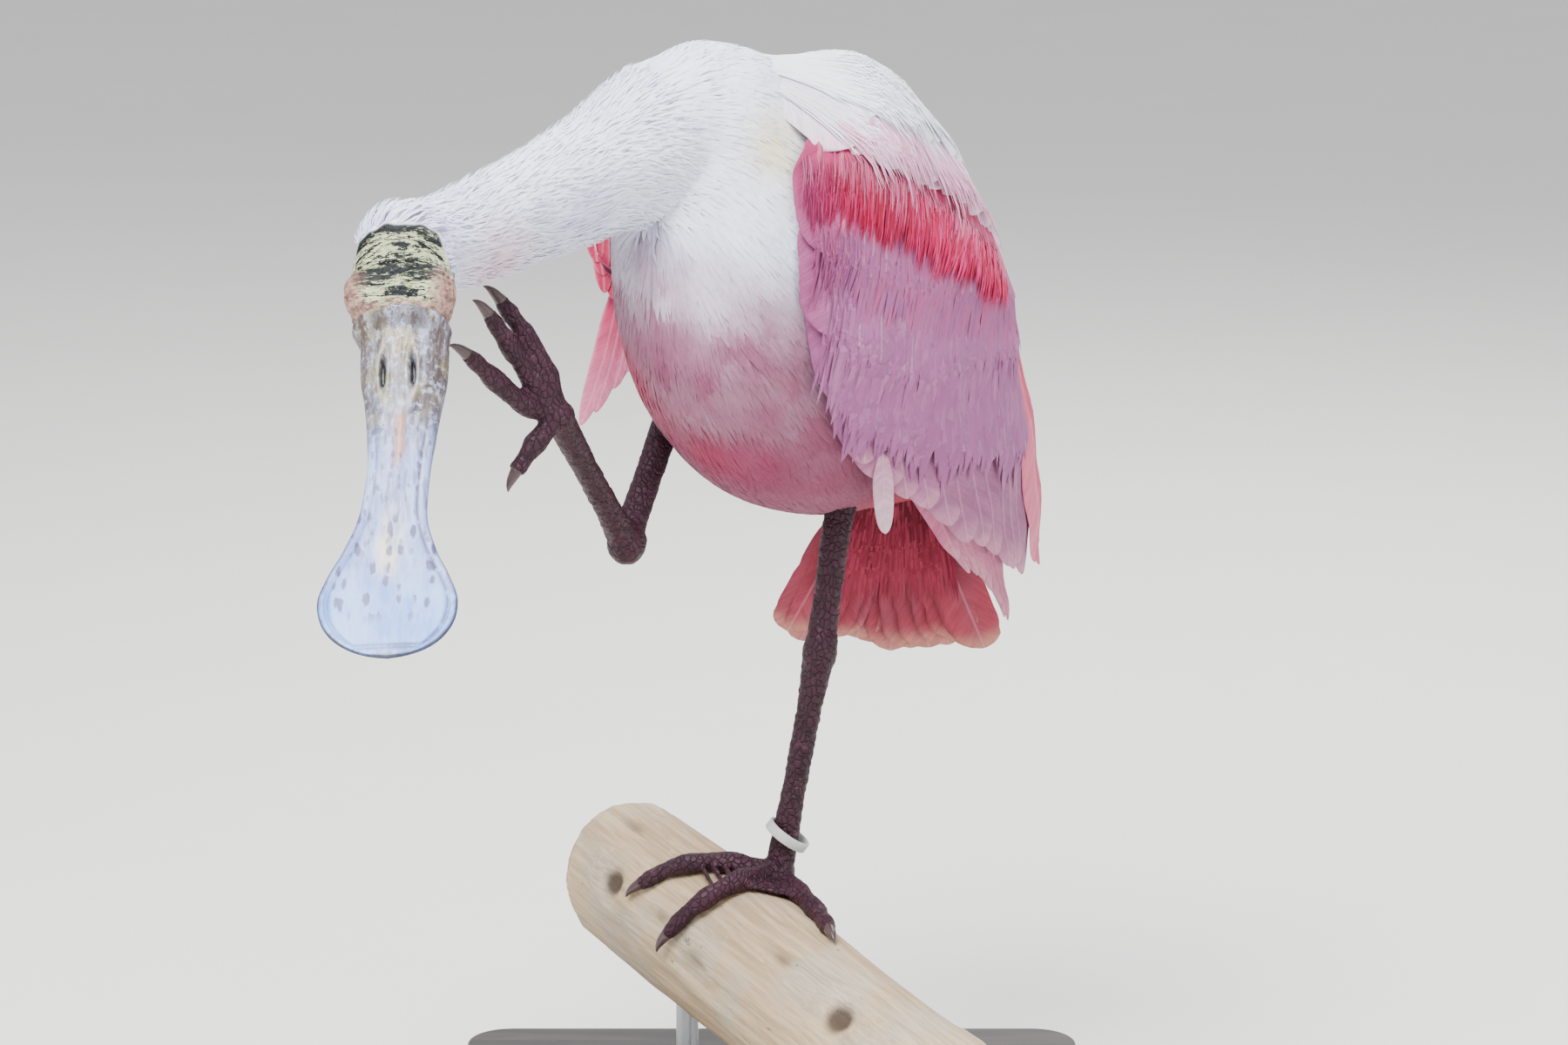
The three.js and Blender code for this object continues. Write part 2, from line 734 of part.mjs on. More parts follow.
function foot(name) {
  const ball = solidOf(
    new THREE.SphereGeometry(tarsusRadius + 2.2, 10, 7),
    new THREE.Matrix4().makeTranslation(...footPlace[name]),
  );
  return union([ball, ...toeNames.map((toeName) => toe(toeLines[name][toeName]))]);
}

function claw(points) {
  const tip = vec(...points[points.length - 1]);
  const before = vec(...points[points.length - 2]);
  const forward = tip.clone().sub(before).normalize();
  const bend = vec(0, 0, -1).addScaledVector(forward, forward.z).normalize();
  const place = (distance, sink) => {
    const point = tip.clone().addScaledVector(forward, distance);
    return point.addScaledVector(bend, sink).toArray();
  };
  const line = [place(gap, 0), place(clawLength * 0.5, 0.5), place(clawLength, 2)];
  return tube(line, [toeRadius - 2, toeRadius - 2.9, 0.5], { sides: 7, steps: 3 });
}

function legRing() {
  const profile = [
    new THREE.Vector2(ringInner, -ringHeight / 2),
    new THREE.Vector2(ringInner + ringWall, -ringHeight / 2),
    new THREE.Vector2(ringInner + ringWall, ringHeight / 2),
    new THREE.Vector2(ringInner, ringHeight / 2),
    new THREE.Vector2(ringInner, -ringHeight / 2),
  ];
  const ankle = vec(...legLines.left.ankle);
  const foot = vec(...footPlace.left);
  const centre = foot.clone().lerp(ankle, 0.17).add(vec(0.9, 0, 0));
  const turn = new THREE.Matrix4().makeRotationY(rad(ringTilt));
  turn.multiply(new THREE.Matrix4().makeRotationX(rad(90)));
  const place = new THREE.Matrix4().makeTranslation(...centre).multiply(turn);
  return solidOf(new THREE.LatheGeometry(profile, 22), place);
}

// Stand: a rounded base board and two rods, each with a small flange, cut to the log
function baseBoard() {
  const [x, y] = [baseLength / 2, baseWidth / 2];
  const outline = new THREE.Shape();
  outline.moveTo(-x + baseCorner, -y);
  outline.lineTo(x - baseCorner, -y);
  outline.absarc(x - baseCorner, -y + baseCorner, baseCorner, -Math.PI / 2, 0);
  outline.lineTo(x, y - baseCorner);
  outline.absarc(x - baseCorner, y - baseCorner, baseCorner, 0, Math.PI / 2);
  outline.lineTo(-x + baseCorner, y);
  outline.absarc(-x + baseCorner, y - baseCorner, baseCorner, Math.PI / 2, Math.PI);
  outline.lineTo(-x, -y + baseCorner);
  outline.absarc(-x + baseCorner, -y + baseCorner, baseCorner, Math.PI, Math.PI * 1.5);
  const depth = { depth: baseThickness, bevelEnabled: false, curveSegments: 6 };
  const board = new THREE.ExtrudeGeometry(outline, depth);
  return solidOf(board, new THREE.Matrix4().makeTranslation(0, 0, -standRise));
}

function rod(distance) {
  const bottom = baseThickness - standRise + gap;
  const top = logHeight + 20;
  const profile = [
    new THREE.Vector2(0, bottom),
    new THREE.Vector2(flangeRadius, bottom),
    new THREE.Vector2(flangeRadius, bottom + flangeHeight),
    new THREE.Vector2(rodRadius, bottom + flangeHeight + 1.5),
    new THREE.Vector2(rodRadius, top),
    new THREE.Vector2(0, top),
  ];
  const under = logPoint(distance, 0, 0);
  const place = new THREE.Matrix4().makeRotationX(rad(90));
  place.premultiply(new THREE.Matrix4().makeTranslation(under.x, under.y, 0));
  const log = perch(gap);
  const whole = solidOf(new THREE.LatheGeometry(profile, 16), place);
  const pieces = whole.subtract(log).decompose();
  const lowest = (piece) => piece.boundingBox().min[2];
  return pieces.reduce((best, piece) => (lowest(piece) < lowest(best) ? piece : best));
}

// Surface colours
function paint(color, roughness, metalness = 0) {
  return new THREE.MeshStandardMaterial({ color, roughness, metalness });
}

const finish = {
  white: paint(0xf0e6e4, 0.85),
  pink: paint(0xe9a9b4, 0.8),
  carmine: paint(0xd9486a, 0.8),
  tail: paint(0xe5935f, 0.8),
  bald: paint(0xb9bd8e, 0.6),
  bill: paint(0xb4b0a6, 0.45),
  eye: paint(0x8a1420, 0.1),
  leg: paint(0x53303c, 0.6),
  claw: paint(0x2c2326, 0.5),
  ring: paint(0xb7bab6, 0.45),
  wood: paint(0xb08a58, 0.8),
  base: paint(0x3a3734, 0.5),
  steel: paint(0x9a9a98, 0.3, 1),
};

// Each solid is built in place and then stated in the frame of the group that holds it
function mount(group, name, solid, material) {
  const { vertProperties, triVerts } = solid.getMesh();
  const geometry = new THREE.BufferGeometry();
  geometry.setAttribute('position', new THREE.BufferAttribute(new Float32Array(vertProperties), 3));
  geometry.setIndex(new THREE.BufferAttribute(new Uint32Array(triVerts), 1));
  geometry.applyMatrix4(group.matrixWorld.clone().invert());
  geometry.computeVertexNormals();
  const mesh = new THREE.Mesh(geometry, material);
  mesh.name = name;
  group.add(mesh);
}

const torsoBlank = torso(0);
const torsoRoom = torso(gap);
const headRoom = headSkin(gap);
const tibiaRooms = ['left', 'right'].map((name) => tibia(name, gap));

const neckRoom = neckPiece(neckSplit, 1, gap);
const neckLower = cut(neckPiece(neckSplit, 1, 0), torsoRoom);
const neckUpper = cut(neckPiece(0, neckSplit, 0), headRoom, neckRoom, torsoRoom);
mount(body, 'torso', cut(torsoBlank, ...tibiaRooms), finish.white);
mount(model, 'neck_lower', neckLower, finish.white);
mount(model, 'neck_upper', neckUpper, finish.white);
mount(head, 'head', headSolid(), finish.bald);
mount(head, 'upper_bill', upperBill(), finish.bill);
mount(head, 'lower_bill', billHalf(-1), finish.bill);
mount(head, 'eye_left', eyeBall(1, 0), finish.eye);
mount(head, 'eye_right', eyeBall(-1, 0), finish.eye);

const leftWing = cut(wing(1, folded), torsoRoom, neckRoom);
const rightWing = cut(wing(-1, drooped), torsoRoom, neckRoom, ...tibiaRooms);
mount(body, 'wing_left', leftWing, finish.pink);
mount(body, 'wing_right', rightWing, finish.pink);
mount(body, 'tail', cut(tail(), torsoRoom), finish.tail);

const perchRoom = perch(gap);
['left', 'right'].forEach((name) => {
  const tarsusRoom = tarsus(name, gap);
  mount(legs, `tibia_${name}`, cut(tibia(name, 0), tarsusRoom), finish.leg);
  mount(legs, `foot_${name}`, cut(foot(name), tarsusRoom, perchRoom), finish.leg);
  mount(legs, `tarsus_${name}`, tarsus(name, 0), finish.leg);
  toeNames.forEach((toeName) => {
    mount(legs, `claw_${name}_${toeName}`, cut(claw(toeLines[name][toeName]), perchRoom), finish.claw);
  });
});
mount(legs, 'leg_ring', legRing(), finish.ring);

mount(stand, 'perch', perch(0), finish.wood);
mount(stand, 'stand_base', baseBoard(), finish.base);
mount(stand, 'stand_rod_back', rod(-rodSpread), finish.steel);
mount(stand, 'stand_rod_front', rod(rodSpread), finish.steel);

model.position.z = standRise;
spoonbill.add(model);

export default spoonbill;
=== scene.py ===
import json
import math
import bmesh
import bpy
import numpy as np
from mathutils import Euler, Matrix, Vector
from mathutils.bvhtree import BVHTree

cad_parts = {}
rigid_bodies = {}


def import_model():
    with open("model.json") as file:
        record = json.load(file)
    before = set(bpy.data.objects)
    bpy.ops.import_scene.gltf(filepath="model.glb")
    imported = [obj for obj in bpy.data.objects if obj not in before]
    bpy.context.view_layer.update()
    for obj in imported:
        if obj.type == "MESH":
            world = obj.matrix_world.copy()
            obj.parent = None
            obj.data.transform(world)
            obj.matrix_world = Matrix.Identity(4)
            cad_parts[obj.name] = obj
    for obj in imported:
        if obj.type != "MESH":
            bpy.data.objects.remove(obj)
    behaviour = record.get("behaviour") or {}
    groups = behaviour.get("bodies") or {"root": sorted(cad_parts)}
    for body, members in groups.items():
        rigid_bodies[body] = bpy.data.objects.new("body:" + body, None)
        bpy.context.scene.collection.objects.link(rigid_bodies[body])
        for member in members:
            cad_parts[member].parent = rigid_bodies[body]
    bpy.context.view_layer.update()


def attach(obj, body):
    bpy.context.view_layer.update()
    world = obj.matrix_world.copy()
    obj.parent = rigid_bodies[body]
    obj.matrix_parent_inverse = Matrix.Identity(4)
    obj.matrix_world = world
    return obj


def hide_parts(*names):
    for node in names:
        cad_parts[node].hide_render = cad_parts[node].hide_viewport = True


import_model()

mm = 0.001                      # the model's sizes below are in millimetres
deg = math.pi / 180
seeds = {"coat": 7, "wingsAndTail": 19}

bpy.ops.object.select_all(action="DESELECT")


def aimed(thing, place, target):    # an object at a place, turned to the target
    thing.location = Vector(place) * mm
    thing.rotation_euler = (Vector(target) - Vector(place)).to_track_quat("-Z", "Y").to_euler()
    bpy.context.scene.collection.objects.link(thing)


# Camera at the photograph's place, a long lens a little above the bird
view = {"place": (5.7, -2120.8, 729.7), "target": (5.7, 31.1, 272.3), "lens": 115.28, "sensor": 36}
cameraData = bpy.data.cameras.new("viewCamera")
cameraData.lens = view["lens"]
cameraData.sensor_width = view["sensor"]
viewCamera = bpy.data.objects.new("viewCamera", cameraData)
aimed(viewCamera, view["place"], view["target"])
bpy.context.scene.camera = viewCamera


# Small helpers for numbers
def ease(x, low, high):
    k = np.clip((np.asarray(x, float) - low) / (high - low), 0, 1)
    return k * k * (3 - 2 * k)


def swell(x, middle, reach):    # one at the middle, fading on both sides
    return np.exp(-((x - middle) / reach) ** 2)


def mixed(a, b, k):
    k = np.asarray(k)[..., None]
    return np.asarray(a) * (1 - k) + np.asarray(b) * k


def unit(v):
    return v / np.maximum(np.linalg.norm(v, axis=-1, keepdims=True), 1e-9)


def tone(red, green, blue):     # a screen colour, 0 to 255, as linear light
    c = np.array([red, green, blue]) / 255
    return np.where(c <= 0.04045, c / 12.92, ((c + 0.055) / 1.055) ** 2.4)


def along(rows, k):             # values between evenly spaced rows
    rows = np.array(rows, float)
    rows = rows[:, None] if rows.ndim == 1 else rows
    place = np.clip(k, 0, 1) * (len(rows) - 1)
    index = np.minimum(place.astype(int), len(rows) - 2)
    share = (place - index)[..., None]
    return rows[index] * (1 - share) + rows[index + 1] * share


def grain(points, scale, seed=0):   # smooth random value from -1 to 1 at each point
    p = np.asarray(points, float) * np.asarray(scale)
    cell = np.floor(p).astype(np.int64)
    f = p - cell
    f = f * f * (3 - 2 * f)
    total = 0
    for corner in np.ndindex(2, 2, 2):
        c = cell + np.array(corner)
        n = (c[..., 0] * 374761393 + c[..., 1] * 668265263 + c[..., 2] * 1103515245 + seed * 97531) & 0xffffffff
        n = ((n ^ (n >> 13)) * 1274126177) & 0xffffffff
        value = ((n ^ (n >> 16)) & 0xffff) / 32767.5 - 1
        weight = np.prod(np.where(np.array(corner) == 1, f, 1 - f), axis=-1)
        total = total + value * weight
    return total


def onceRound(sides):           # angles of a full turn, evenly spaced
    return np.linspace(0, 2 * np.pi, sides, endpoint=False)


def dotted(a, b):               # dot product row by row
    return np.einsum("ij,ij->i", a, b)


def curvePoints(points, k):     # a smooth curve through the points, in any number of directions
    p = np.array(points, float)
    ends = np.vstack([2 * p[0] - p[1], p, 2 * p[-1] - p[-2]])
    place = np.clip(k, 0, 1) * (len(p) - 1)
    index = np.minimum(place.astype(int), len(p) - 2)
    t = (place - index)[:, None]
    p0, p1, p2, p3 = (ends[index + n] for n in range(4))
    step = [np.sqrt(np.linalg.norm(b - a, axis=1, keepdims=True)) for a, b in ((p0, p1), (p1, p2), (p2, p3))]
    m1 = ((p1 - p0) / step[0] - (p2 - p0) / (step[0] + step[1])) * step[1] + (p2 - p1)
    m2 = ((p3 - p2) / step[2] - (p3 - p1) / (step[1] + step[2])) * step[1] + (p2 - p1)
    c2 = -3 * p1 + 3 * p2 - 2 * m1 - m2
    c3 = 2 * p1 - 2 * p2 + m1 + m2
    return p1 + m1 * t + c2 * t ** 2 + c3 * t ** 3


# Frames of the body and the head: x forward, y to the bird's left, z up from its back
bodyFrame = {"centre": (11, 11, 372), "turn": (8, -50, -126)}
headFrame = {"centre": (-145.3, -167.6, 405.1), "turn": (3.3, 41.6, -89.3)}


def frameOf(place):
    turn = Euler([a * deg for a in place["turn"]], "XYZ").to_matrix()
    return np.array(turn), np.array(place["centre"], float)


bodyTurn, bodyCentre = frameOf(bodyFrame)
headTurn, headCentre = frameOf(headFrame)


def bodyPoint(x, y, z):
    return np.stack(np.broadcast_arrays(x, y, z), axis=-1) @ bodyTurn.T + bodyCentre


def headPoint(x, y, z):
    return np.stack(np.broadcast_arrays(x, y, z), axis=-1) @ headTurn.T + headCentre


def toBody(points):
    return (points - bodyCentre) @ bodyTurn


def toHead(points):
    return (points - headCentre) @ headTurn


# Meshes from arrays
def gridFaces(rows, columns, closed=False, start=0):
    i, j = np.meshgrid(np.arange(rows - 1), np.arange(columns if closed else columns - 1), indexing="ij")
    a = i * columns + j
    b = i * columns + (j + 1) % columns
    return start + np.stack([a, b, b + columns, a + columns], axis=-1).reshape(-1, 4)


def turnedOut(points, faceSets):    # faces turned round where the closed shape is inside out
    volume = 0
    for faces in faceSets:
        for n in range(1, faces.shape[1] - 1):
            a, b, c = (points[faces[:, m]] for m in (0, n, n + 1))
            volume += np.einsum("ij,ij->", a, np.cross(b, c))
    return [faces[:, ::-1] for faces in faceSets] if volume < 0 else faceSets


def loft(rings):                # rings of points as a closed skin, with a fan at each end
    count, sides = rings.shape[:2]
    points = np.concatenate([rings.reshape(-1, 3), rings[:1].mean(axis=1), rings[-1:].mean(axis=1)])
    j = np.arange(sides)
    k = (j + 1) % sides
    last = (count - 1) * sides
    first = np.stack([np.full(sides, count * sides), k, j], axis=-1)
    end = np.stack([np.full(sides, count * sides + 1), last + j, last + k], axis=-1)
    faceSets = [gridFaces(count, sides, closed=True), first, end]
    return points, turnedOut(points, faceSets)


def joined(shapes):             # several shapes as one list of points and faces
    points = np.concatenate([p for p, _ in shapes])
    starts = np.cumsum([0] + [len(p) for p, _ in shapes[:-1]])
    faceSets = [faces + start for (_, sets), start in zip(shapes, starts) for faces in sets]
    return points, faceSets


def tubeRings(points, radii, sides, steps):
    k = np.linspace(0, 1, steps + 1)
    centres = curvePoints(points, k)
    forward = unit(np.gradient(centres, axis=0))
    side = unit(np.cross(forward, np.array((0.2, -0.3, 1))))
    top = np.cross(side, forward)
    radius = along(radii, k)
    angle = onceRound(sides)
    around = side[:, None] * np.cos(angle)[None, :, None] + top[:, None] * np.sin(angle)[None, :, None]
    return centres[:, None] + around * radius[:, :, None]


def ball(centre, radii, turn=None, sides=32):
    k = np.linspace(0, np.pi, sides // 2 + 1)[1:-1]
    angle = onceRound(sides)
    ring = np.stack([np.outer(np.sin(k), np.cos(angle)), np.outer(np.sin(k), np.sin(angle)),
                     np.outer(np.cos(k), np.ones(sides))], axis=-1) * np.array(radii)
    poles = np.array([[0, 0, radii[2]], [0, 0, -radii[2]]], float)
    points, faceSets = loft(ring)
    points[-2:] = poles
    points = points @ (np.eye(3) if turn is None else turn).T + np.array(centre)
    return points, turnedOut(points, faceSets)


def meshObject(name, points, faceSets, maps=None, fields=None):
    corners = np.concatenate([faces.ravel() for faces in faceSets]).astype(np.int32)
    sizes = np.concatenate([np.full(len(faces), faces.shape[1]) for faces in faceSets])
    starts = np.concatenate([[0], np.cumsum(sizes)[:-1]]).astype(np.int32)
    mesh = bpy.data.meshes.new(name)
    mesh.vertices.add(len(points))
    mesh.vertices.foreach_set("co", (points * mm).astype(np.float32).ravel())
    mesh.loops.add(len(corners))
    mesh.loops.foreach_set("vertex_index", corners)
    mesh.polygons.add(len(sizes))
    mesh.polygons.foreach_set("loop_start", starts)
    for key, values in (maps or {}).items():
        layer = mesh.uv_layers.new(name=key)
        layer.uv.foreach_set("vector", values[corners].astype(np.float32).ravel())
    setFields(mesh, fields)
    mesh.update(calc_edges=True)
    mesh.shade_smooth()
    piece = bpy.data.objects.new(name, mesh)
    bpy.context.scene.collection.objects.link(piece)
    return piece


def setFields(mesh, fields):
    for key, values in (fields or {}).items():
        if values.ndim == 1:
            kind, slot = "FLOAT", "value"
        elif key == "tint":
            kind, slot = "FLOAT_COLOR", "color"
            values = np.concatenate([values, np.ones((len(values), 1))], axis=1)
        else:
            kind, slot = "FLOAT_VECTOR", "vector"
        layer = mesh.attributes.new(key, kind, "POINT")
        layer.data.foreach_set(slot, values.astype(np.float32).ravel())


def finishPiece(piece, material, slot, *nodes):
    piece.data.materials.clear()
    piece.data.materials.append(material)
    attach(piece, "root")
    if nodes:
        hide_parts(*nodes)


def only(piece):
    bpy.ops.object.select_all(action="DESELECT")
    piece.select_set(True)
    bpy.context.view_layer.objects.active = piece


def creased(piece, angle):      # smooth but for edges sharper than the angle
    only(piece)
    bpy.ops.object.shade_smooth_by_angle(angle=angle * deg)


def applied(piece, kind, **settings):
    only(piece)
    modifier = piece.modifiers.new(kind.lower(), kind)
    for key, value in settings.items():
        setattr(modifier, key, value)
    bpy.ops.object.modifier_apply(modifier=modifier.name)


def vertexArray(mesh, what="co"):
    values = np.empty(len(mesh.vertices) * 3, np.float32)
    source = mesh.vertices if what == "co" else mesh.vertex_normals
    source.foreach_get("co" if what == "co" else "vector", values)
    return values.reshape(-1, 3).astype(float)


def reshaped(piece, points):
    piece.data.vertices.foreach_set("co", (points * mm).astype(np.float32).ravel())
    piece.data.update()
    piece.data.shade_smooth()


def fused(name, shapes, voxel, smoothing):
    piece = meshObject(name, *joined(shapes))
    applied(piece, "REMESH", mode="VOXEL", voxel_size=voxel * mm)
    applied(piece, "SMOOTH", factor=0.5, iterations=smoothing)
    return piece


# Materials
def wire(tree, kind, inputs, **settings):
    made = tree.nodes.new(kind)
    for key, value in settings.items():
        setattr(made, key, value)
    for key, value in inputs.items():
        if isinstance(value, bpy.types.NodeSocket):
            tree.links.new(value, made.inputs[key])
        else:
            made.inputs[key].default_value = value
    return made


def blended(tree, factor, a, b, kind="MIX"):
    a, b = (c if isinstance(c, bpy.types.NodeSocket) else (*[float(part) for part in c], 1.0) for c in (a, b))
    return wire(tree, "ShaderNodeMix", {0: factor, 6: a, 7: b}, data_type="RGBA", blend_type=kind).outputs[2]


def maths(tree, operation, a, b=0.0):
    return wire(tree, "ShaderNodeMath", {0: a, 1: b}, operation=operation).outputs[0]


def times(tree, first, *others):
    for other in others:
        first = maths(tree, "MULTIPLY", first, other)
    return first


def stepped(tree, value, low, high, to=(0.0, 1.0)):
    inputs = {"Value": value, "From Min": low, "From Max": high, "To Min": to[0], "To Max": to[1]}
    return wire(tree, "ShaderNodeMapRange", inputs, interpolation_type="SMOOTHSTEP").outputs[0]


def fading(tree, value, low, high):
    return stepped(tree, value, low, high, (1.0, 0.0))


def window(tree, value, rise, full, fall, end):     # one between full and fall, nothing outside rise and end
    return times(tree, stepped(tree, value, rise, full), fading(tree, value, fall, end))


def between(tree, value, low, high, first, second):     # from the first colour to the second as the value rises
    return blended(tree, stepped(tree, value, low, high), tone(*first), tone(*second))


def tinted(tree, colour, over, *masks):     # another colour laid over where all the masks let it
    return blended(tree, times(tree, *masks), colour, tone(*over))


def noisy(tree, vector, scale, detail=3.0, roughness=0.55, distortion=0.0):
    inputs = {"Vector": vector, "Scale": scale, "Detail": detail, "Roughness": roughness, "Distortion": distortion}
    return wire(tree, "ShaderNodeTexNoise", inputs).outputs[0]


def stretched(tree, vector, scale):
    return wire(tree, "ShaderNodeMapping", {"Vector": vector, "Scale": scale}).outputs[0]


def attribute(tree, name, output="Fac"):
    return wire(tree, "ShaderNodeAttribute", {}, attribute_name=name).outputs[output]


def objectSpace(tree):
    return wire(tree, "ShaderNodeTexCoord", {}).outputs["Object"]


def material(name, roughness, **sockets):
    made = bpy.data.materials.new(name)
    made.use_nodes = True
    tree = made.node_tree
    shader = tree.nodes["Principled BSDF"]
    shader.inputs["Roughness"].default_value = roughness
    for key, value in sockets.items():
        shader.inputs[key.replace("_", " ")].default_value = value
    return made, tree


def surfaced(made, colour, bump=None, rough=None):      # the bump is height, strength and distance
    tree = made.node_tree
    inputs = tree.nodes["Principled BSDF"].inputs
    tree.links.new(colour, inputs["Base Color"])
    if bump:
        node = wire(tree, "ShaderNodeBump", dict(zip(("Height", "Strength", "Distance"), bump)))
        tree.links.new(node.outputs[0], inputs["Normal"])
    if rough:
        tree.links.new(rough, inputs["Roughness"])
    return made


def effectGroup(name, inputs, outputs):         # an input without a value is a vector
    group = bpy.data.node_groups.new(name, "ShaderNodeTree")
    for key, value in inputs.items():
        kind = "NodeSocketVector" if value is None else "NodeSocketFloat"
        socket = group.interface.new_socket(name=key, in_out="INPUT", socket_type=kind)
        if value is not None:
            socket.default_value = value
    for key in outputs:
        group.interface.new_socket(name=key, in_out="OUTPUT", socket_type="NodeSocketFloat")
    start = group.nodes.new("NodeGroupInput")
    end = group.nodes.new("NodeGroupOutput")
    return group, start.outputs, end.inputs


def placed(tree, group, inputs):
    return wire(tree, "ShaderNodeGroup", inputs, node_tree=group).outputs


def mottleGroup():              # soft uneven shade at two scales, for every surface
    group, given, out = effectGroup("mottle", {"Vector": None, "Scale": 40.0, "Depth": 0.3}, ("Shade", "Mask"))
    broad = noisy(group, given["Vector"], given["Scale"], 2.0)
    small = noisy(group, given["Vector"], times(group, given["Scale"], 5.3), 4.0, 0.65)
    mask = maths(group, "ADD", times(group, broad, 0.62), times(group, small, 0.38))
    low = maths(group, "SUBTRACT", 1.0, given["Depth"])
    shade = wire(group, "ShaderNodeMapRange", {"Value": mask, "From Min": 0.3, "From Max": 0.68, "To Min": low})
    group.links.new(shade.outputs[0], out["Shade"])
    group.links.new(mask, out["Mask"])
    return group


def barbGroup():                # barbs that leave a vane's shaft at a slant, from the vane's own map
    inputs = {"Vector": None, "Slant": 1.1, "Spacing": 60.0}
    group, given, out = effectGroup("barbs", inputs, ("Height", "Shade", "Shaft"))
    parts = wire(group, "ShaderNodeSeparateXYZ", {0: given["Vector"]}).outputs
    away = maths(group, "ABSOLUTE", parts[0])
    slid = maths(group, "SUBTRACT", parts[1], times(group, away, given["Slant"]))
    across = wire(group, "ShaderNodeCombineXYZ", {0: slid, 1: times(group, parts[0], 0.16), 2: parts[2]}).outputs[0]
    fine = noisy(group, across, given["Spacing"], 3.0, 0.7)
    broad = noisy(group, across, times(group, given["Spacing"], 0.16), 2.0)
    shaft = fading(group, away, 0.002, 0.009)
    both = maths(group, "ADD", times(group, fine, 0.5), times(group, broad, 0.5))
    group.links.new(maths(group, "ADD", fine, times(group, shaft, 0.9)), out["Height"])
    group.links.new(stepped(group, both, 0.32, 0.66, (0.74, 1.1)), out["Shade"])
    group.links.new(shaft, out["Shaft"])
    return group


mottle = mottleGroup()
barbs = barbGroup()


def mottled(tree, scale, depth, output="Shade"):
    return placed(tree, mottle, {"Vector": objectSpace(tree), "Scale": scale, "Depth": depth})[output]


def darkened(tree, colour, shade):
    return blended(tree, 1.0, colour, shade, "MULTIPLY")


def hardFinish(name, roughness, scale, dark, light, distance):      # claws and the band on the leg
    made, tree = material(name, roughness, Specular_IOR_Level=0.5)
    mask = mottled(tree, scale, 0.3, "Mask")
    return surfaced(made, blended(tree, mask, tone(*dark), tone(*light)), (mask, 0.3, distance))


def softFeatherFinish(name, roughness, sheen):   # small feathers and down: colour from the tint
    made, tree = material(name, roughness, Sheen_Weight=sheen, Sheen_Roughness=0.5, Specular_IOR_Level=0.15)
    colour = darkened(tree, attribute(tree, "tint", "Color"), mottled(tree, 90.0, 0.14))
    hair = noisy(tree, objectSpace(tree), 1500.0, 2.0)
    return surfaced(made, colour, (hair, 0.25, 0.0004))


def vaneFinish(name, roughness):
    made, tree = material(name, roughness, Sheen_Weight=0.04, Sheen_Roughness=0.45, Specular_IOR_Level=0.18)
    effect = placed(tree, barbs, {"Vector": attribute(tree, "vaneSpace", "Vector"), "Slant": 1.15, "Spacing": 95.0})
    colour = darkened(tree, attribute(tree, "tint", "Color"), effect["Shade"])
    colour = darkened(tree, colour, mottled(tree, 45.0, 0.16))
    pale = tinted(tree, colour, (240, 190, 206), effect["Shaft"], 0.16)
    return surfaced(made, pale, (effect["Height"], 0.5, 0.0009))


downFinish = softFeatherFinish("whiteDown", 0.85, 0.1)
pinkDownFinish = softFeatherFinish("pinkDown", 0.85, 0.06)
wingFinish = vaneFinish("wingVanes", 0.62)
tailFinish = vaneFinish("tailVanes", 0.6)


# Colours of the plumage, from a place on the bird. The skin under the tufts has the same.
plumage = {
    "white": tone(234, 237, 253),
    # painted shade: the bluish grey of the white plumage in shadow
    "shade": tone(200, 209, 238),
    "mauve": tone(134, 52, 88),
    "rose": tone(180, 46, 80),
    "belly": tone(126, 52, 80),
    "carmine": tone(178, 14, 50),
    "cream": tone(232, 216, 136),
    "blush": tone(234, 172, 176),
    "pinkFrom": 425,             # height at which the breast begins to turn pink
    "pinkTo": 374,
}
featherSpots = (                # centre, reach, colour, strength
    ((-112, -122, 416), 14, "blush", 0.6),
    ((-2, -58, 448), 14, "cream", 0.9),
    ((-48, -44, 350), 15, "rose", 0.8),
    ((-62, -30, 366), 12, "rose", 0.35),
    ((-14, -44, 328), 13, "rose", 0.6),
    ((-30, -44, 334), 20, "rose", 0.35),
)


def plumageColour(points):
    body = toBody(points)
    patchy = grain(points, 1 / 24, 3) * 0.6 + grain(points, 1 / 9, 5) * 0.4
    height = points[:, 2] + 0.22 * (points[:, 0] + 46) - 14 * patchy
    pinkness = ease(plumage["pinkFrom"] - height, 0, plumage["pinkFrom"] - plumage["pinkTo"])
    pinkness = pinkness * ease(np.linalg.norm(points - headCentre, axis=1), 100, 135)
    # painted shade: random patches of the white turned to its bluish grey in shadow
    colour = mixed(plumage["white"], plumage["shade"], 0.5 * ease(patchy, -0.3, 0.7))
    colour = mixed(colour, plumage["mauve"], pinkness * (0.86 + 0.16 * patchy))
    colour = mixed(colour, plumage["belly"], 0.8 * ease(-body[:, 0] + 24 * patchy, -90, 20) * pinkness)
    rump = ease(-body[:, 0] + 10 * patchy, 62, 104)
    colour = mixed(colour, plumage["carmine"], 0.8 * rump)
    for centre, reach, key, strength in featherSpots:
        near = swell(np.linalg.norm(points - np.array(centre), axis=1), 0, reach)
        colour = mixed(colour, plumage[key], strength * np.clip(near * (1.15 + 0.6 * patchy), 0, 1))
    return colour


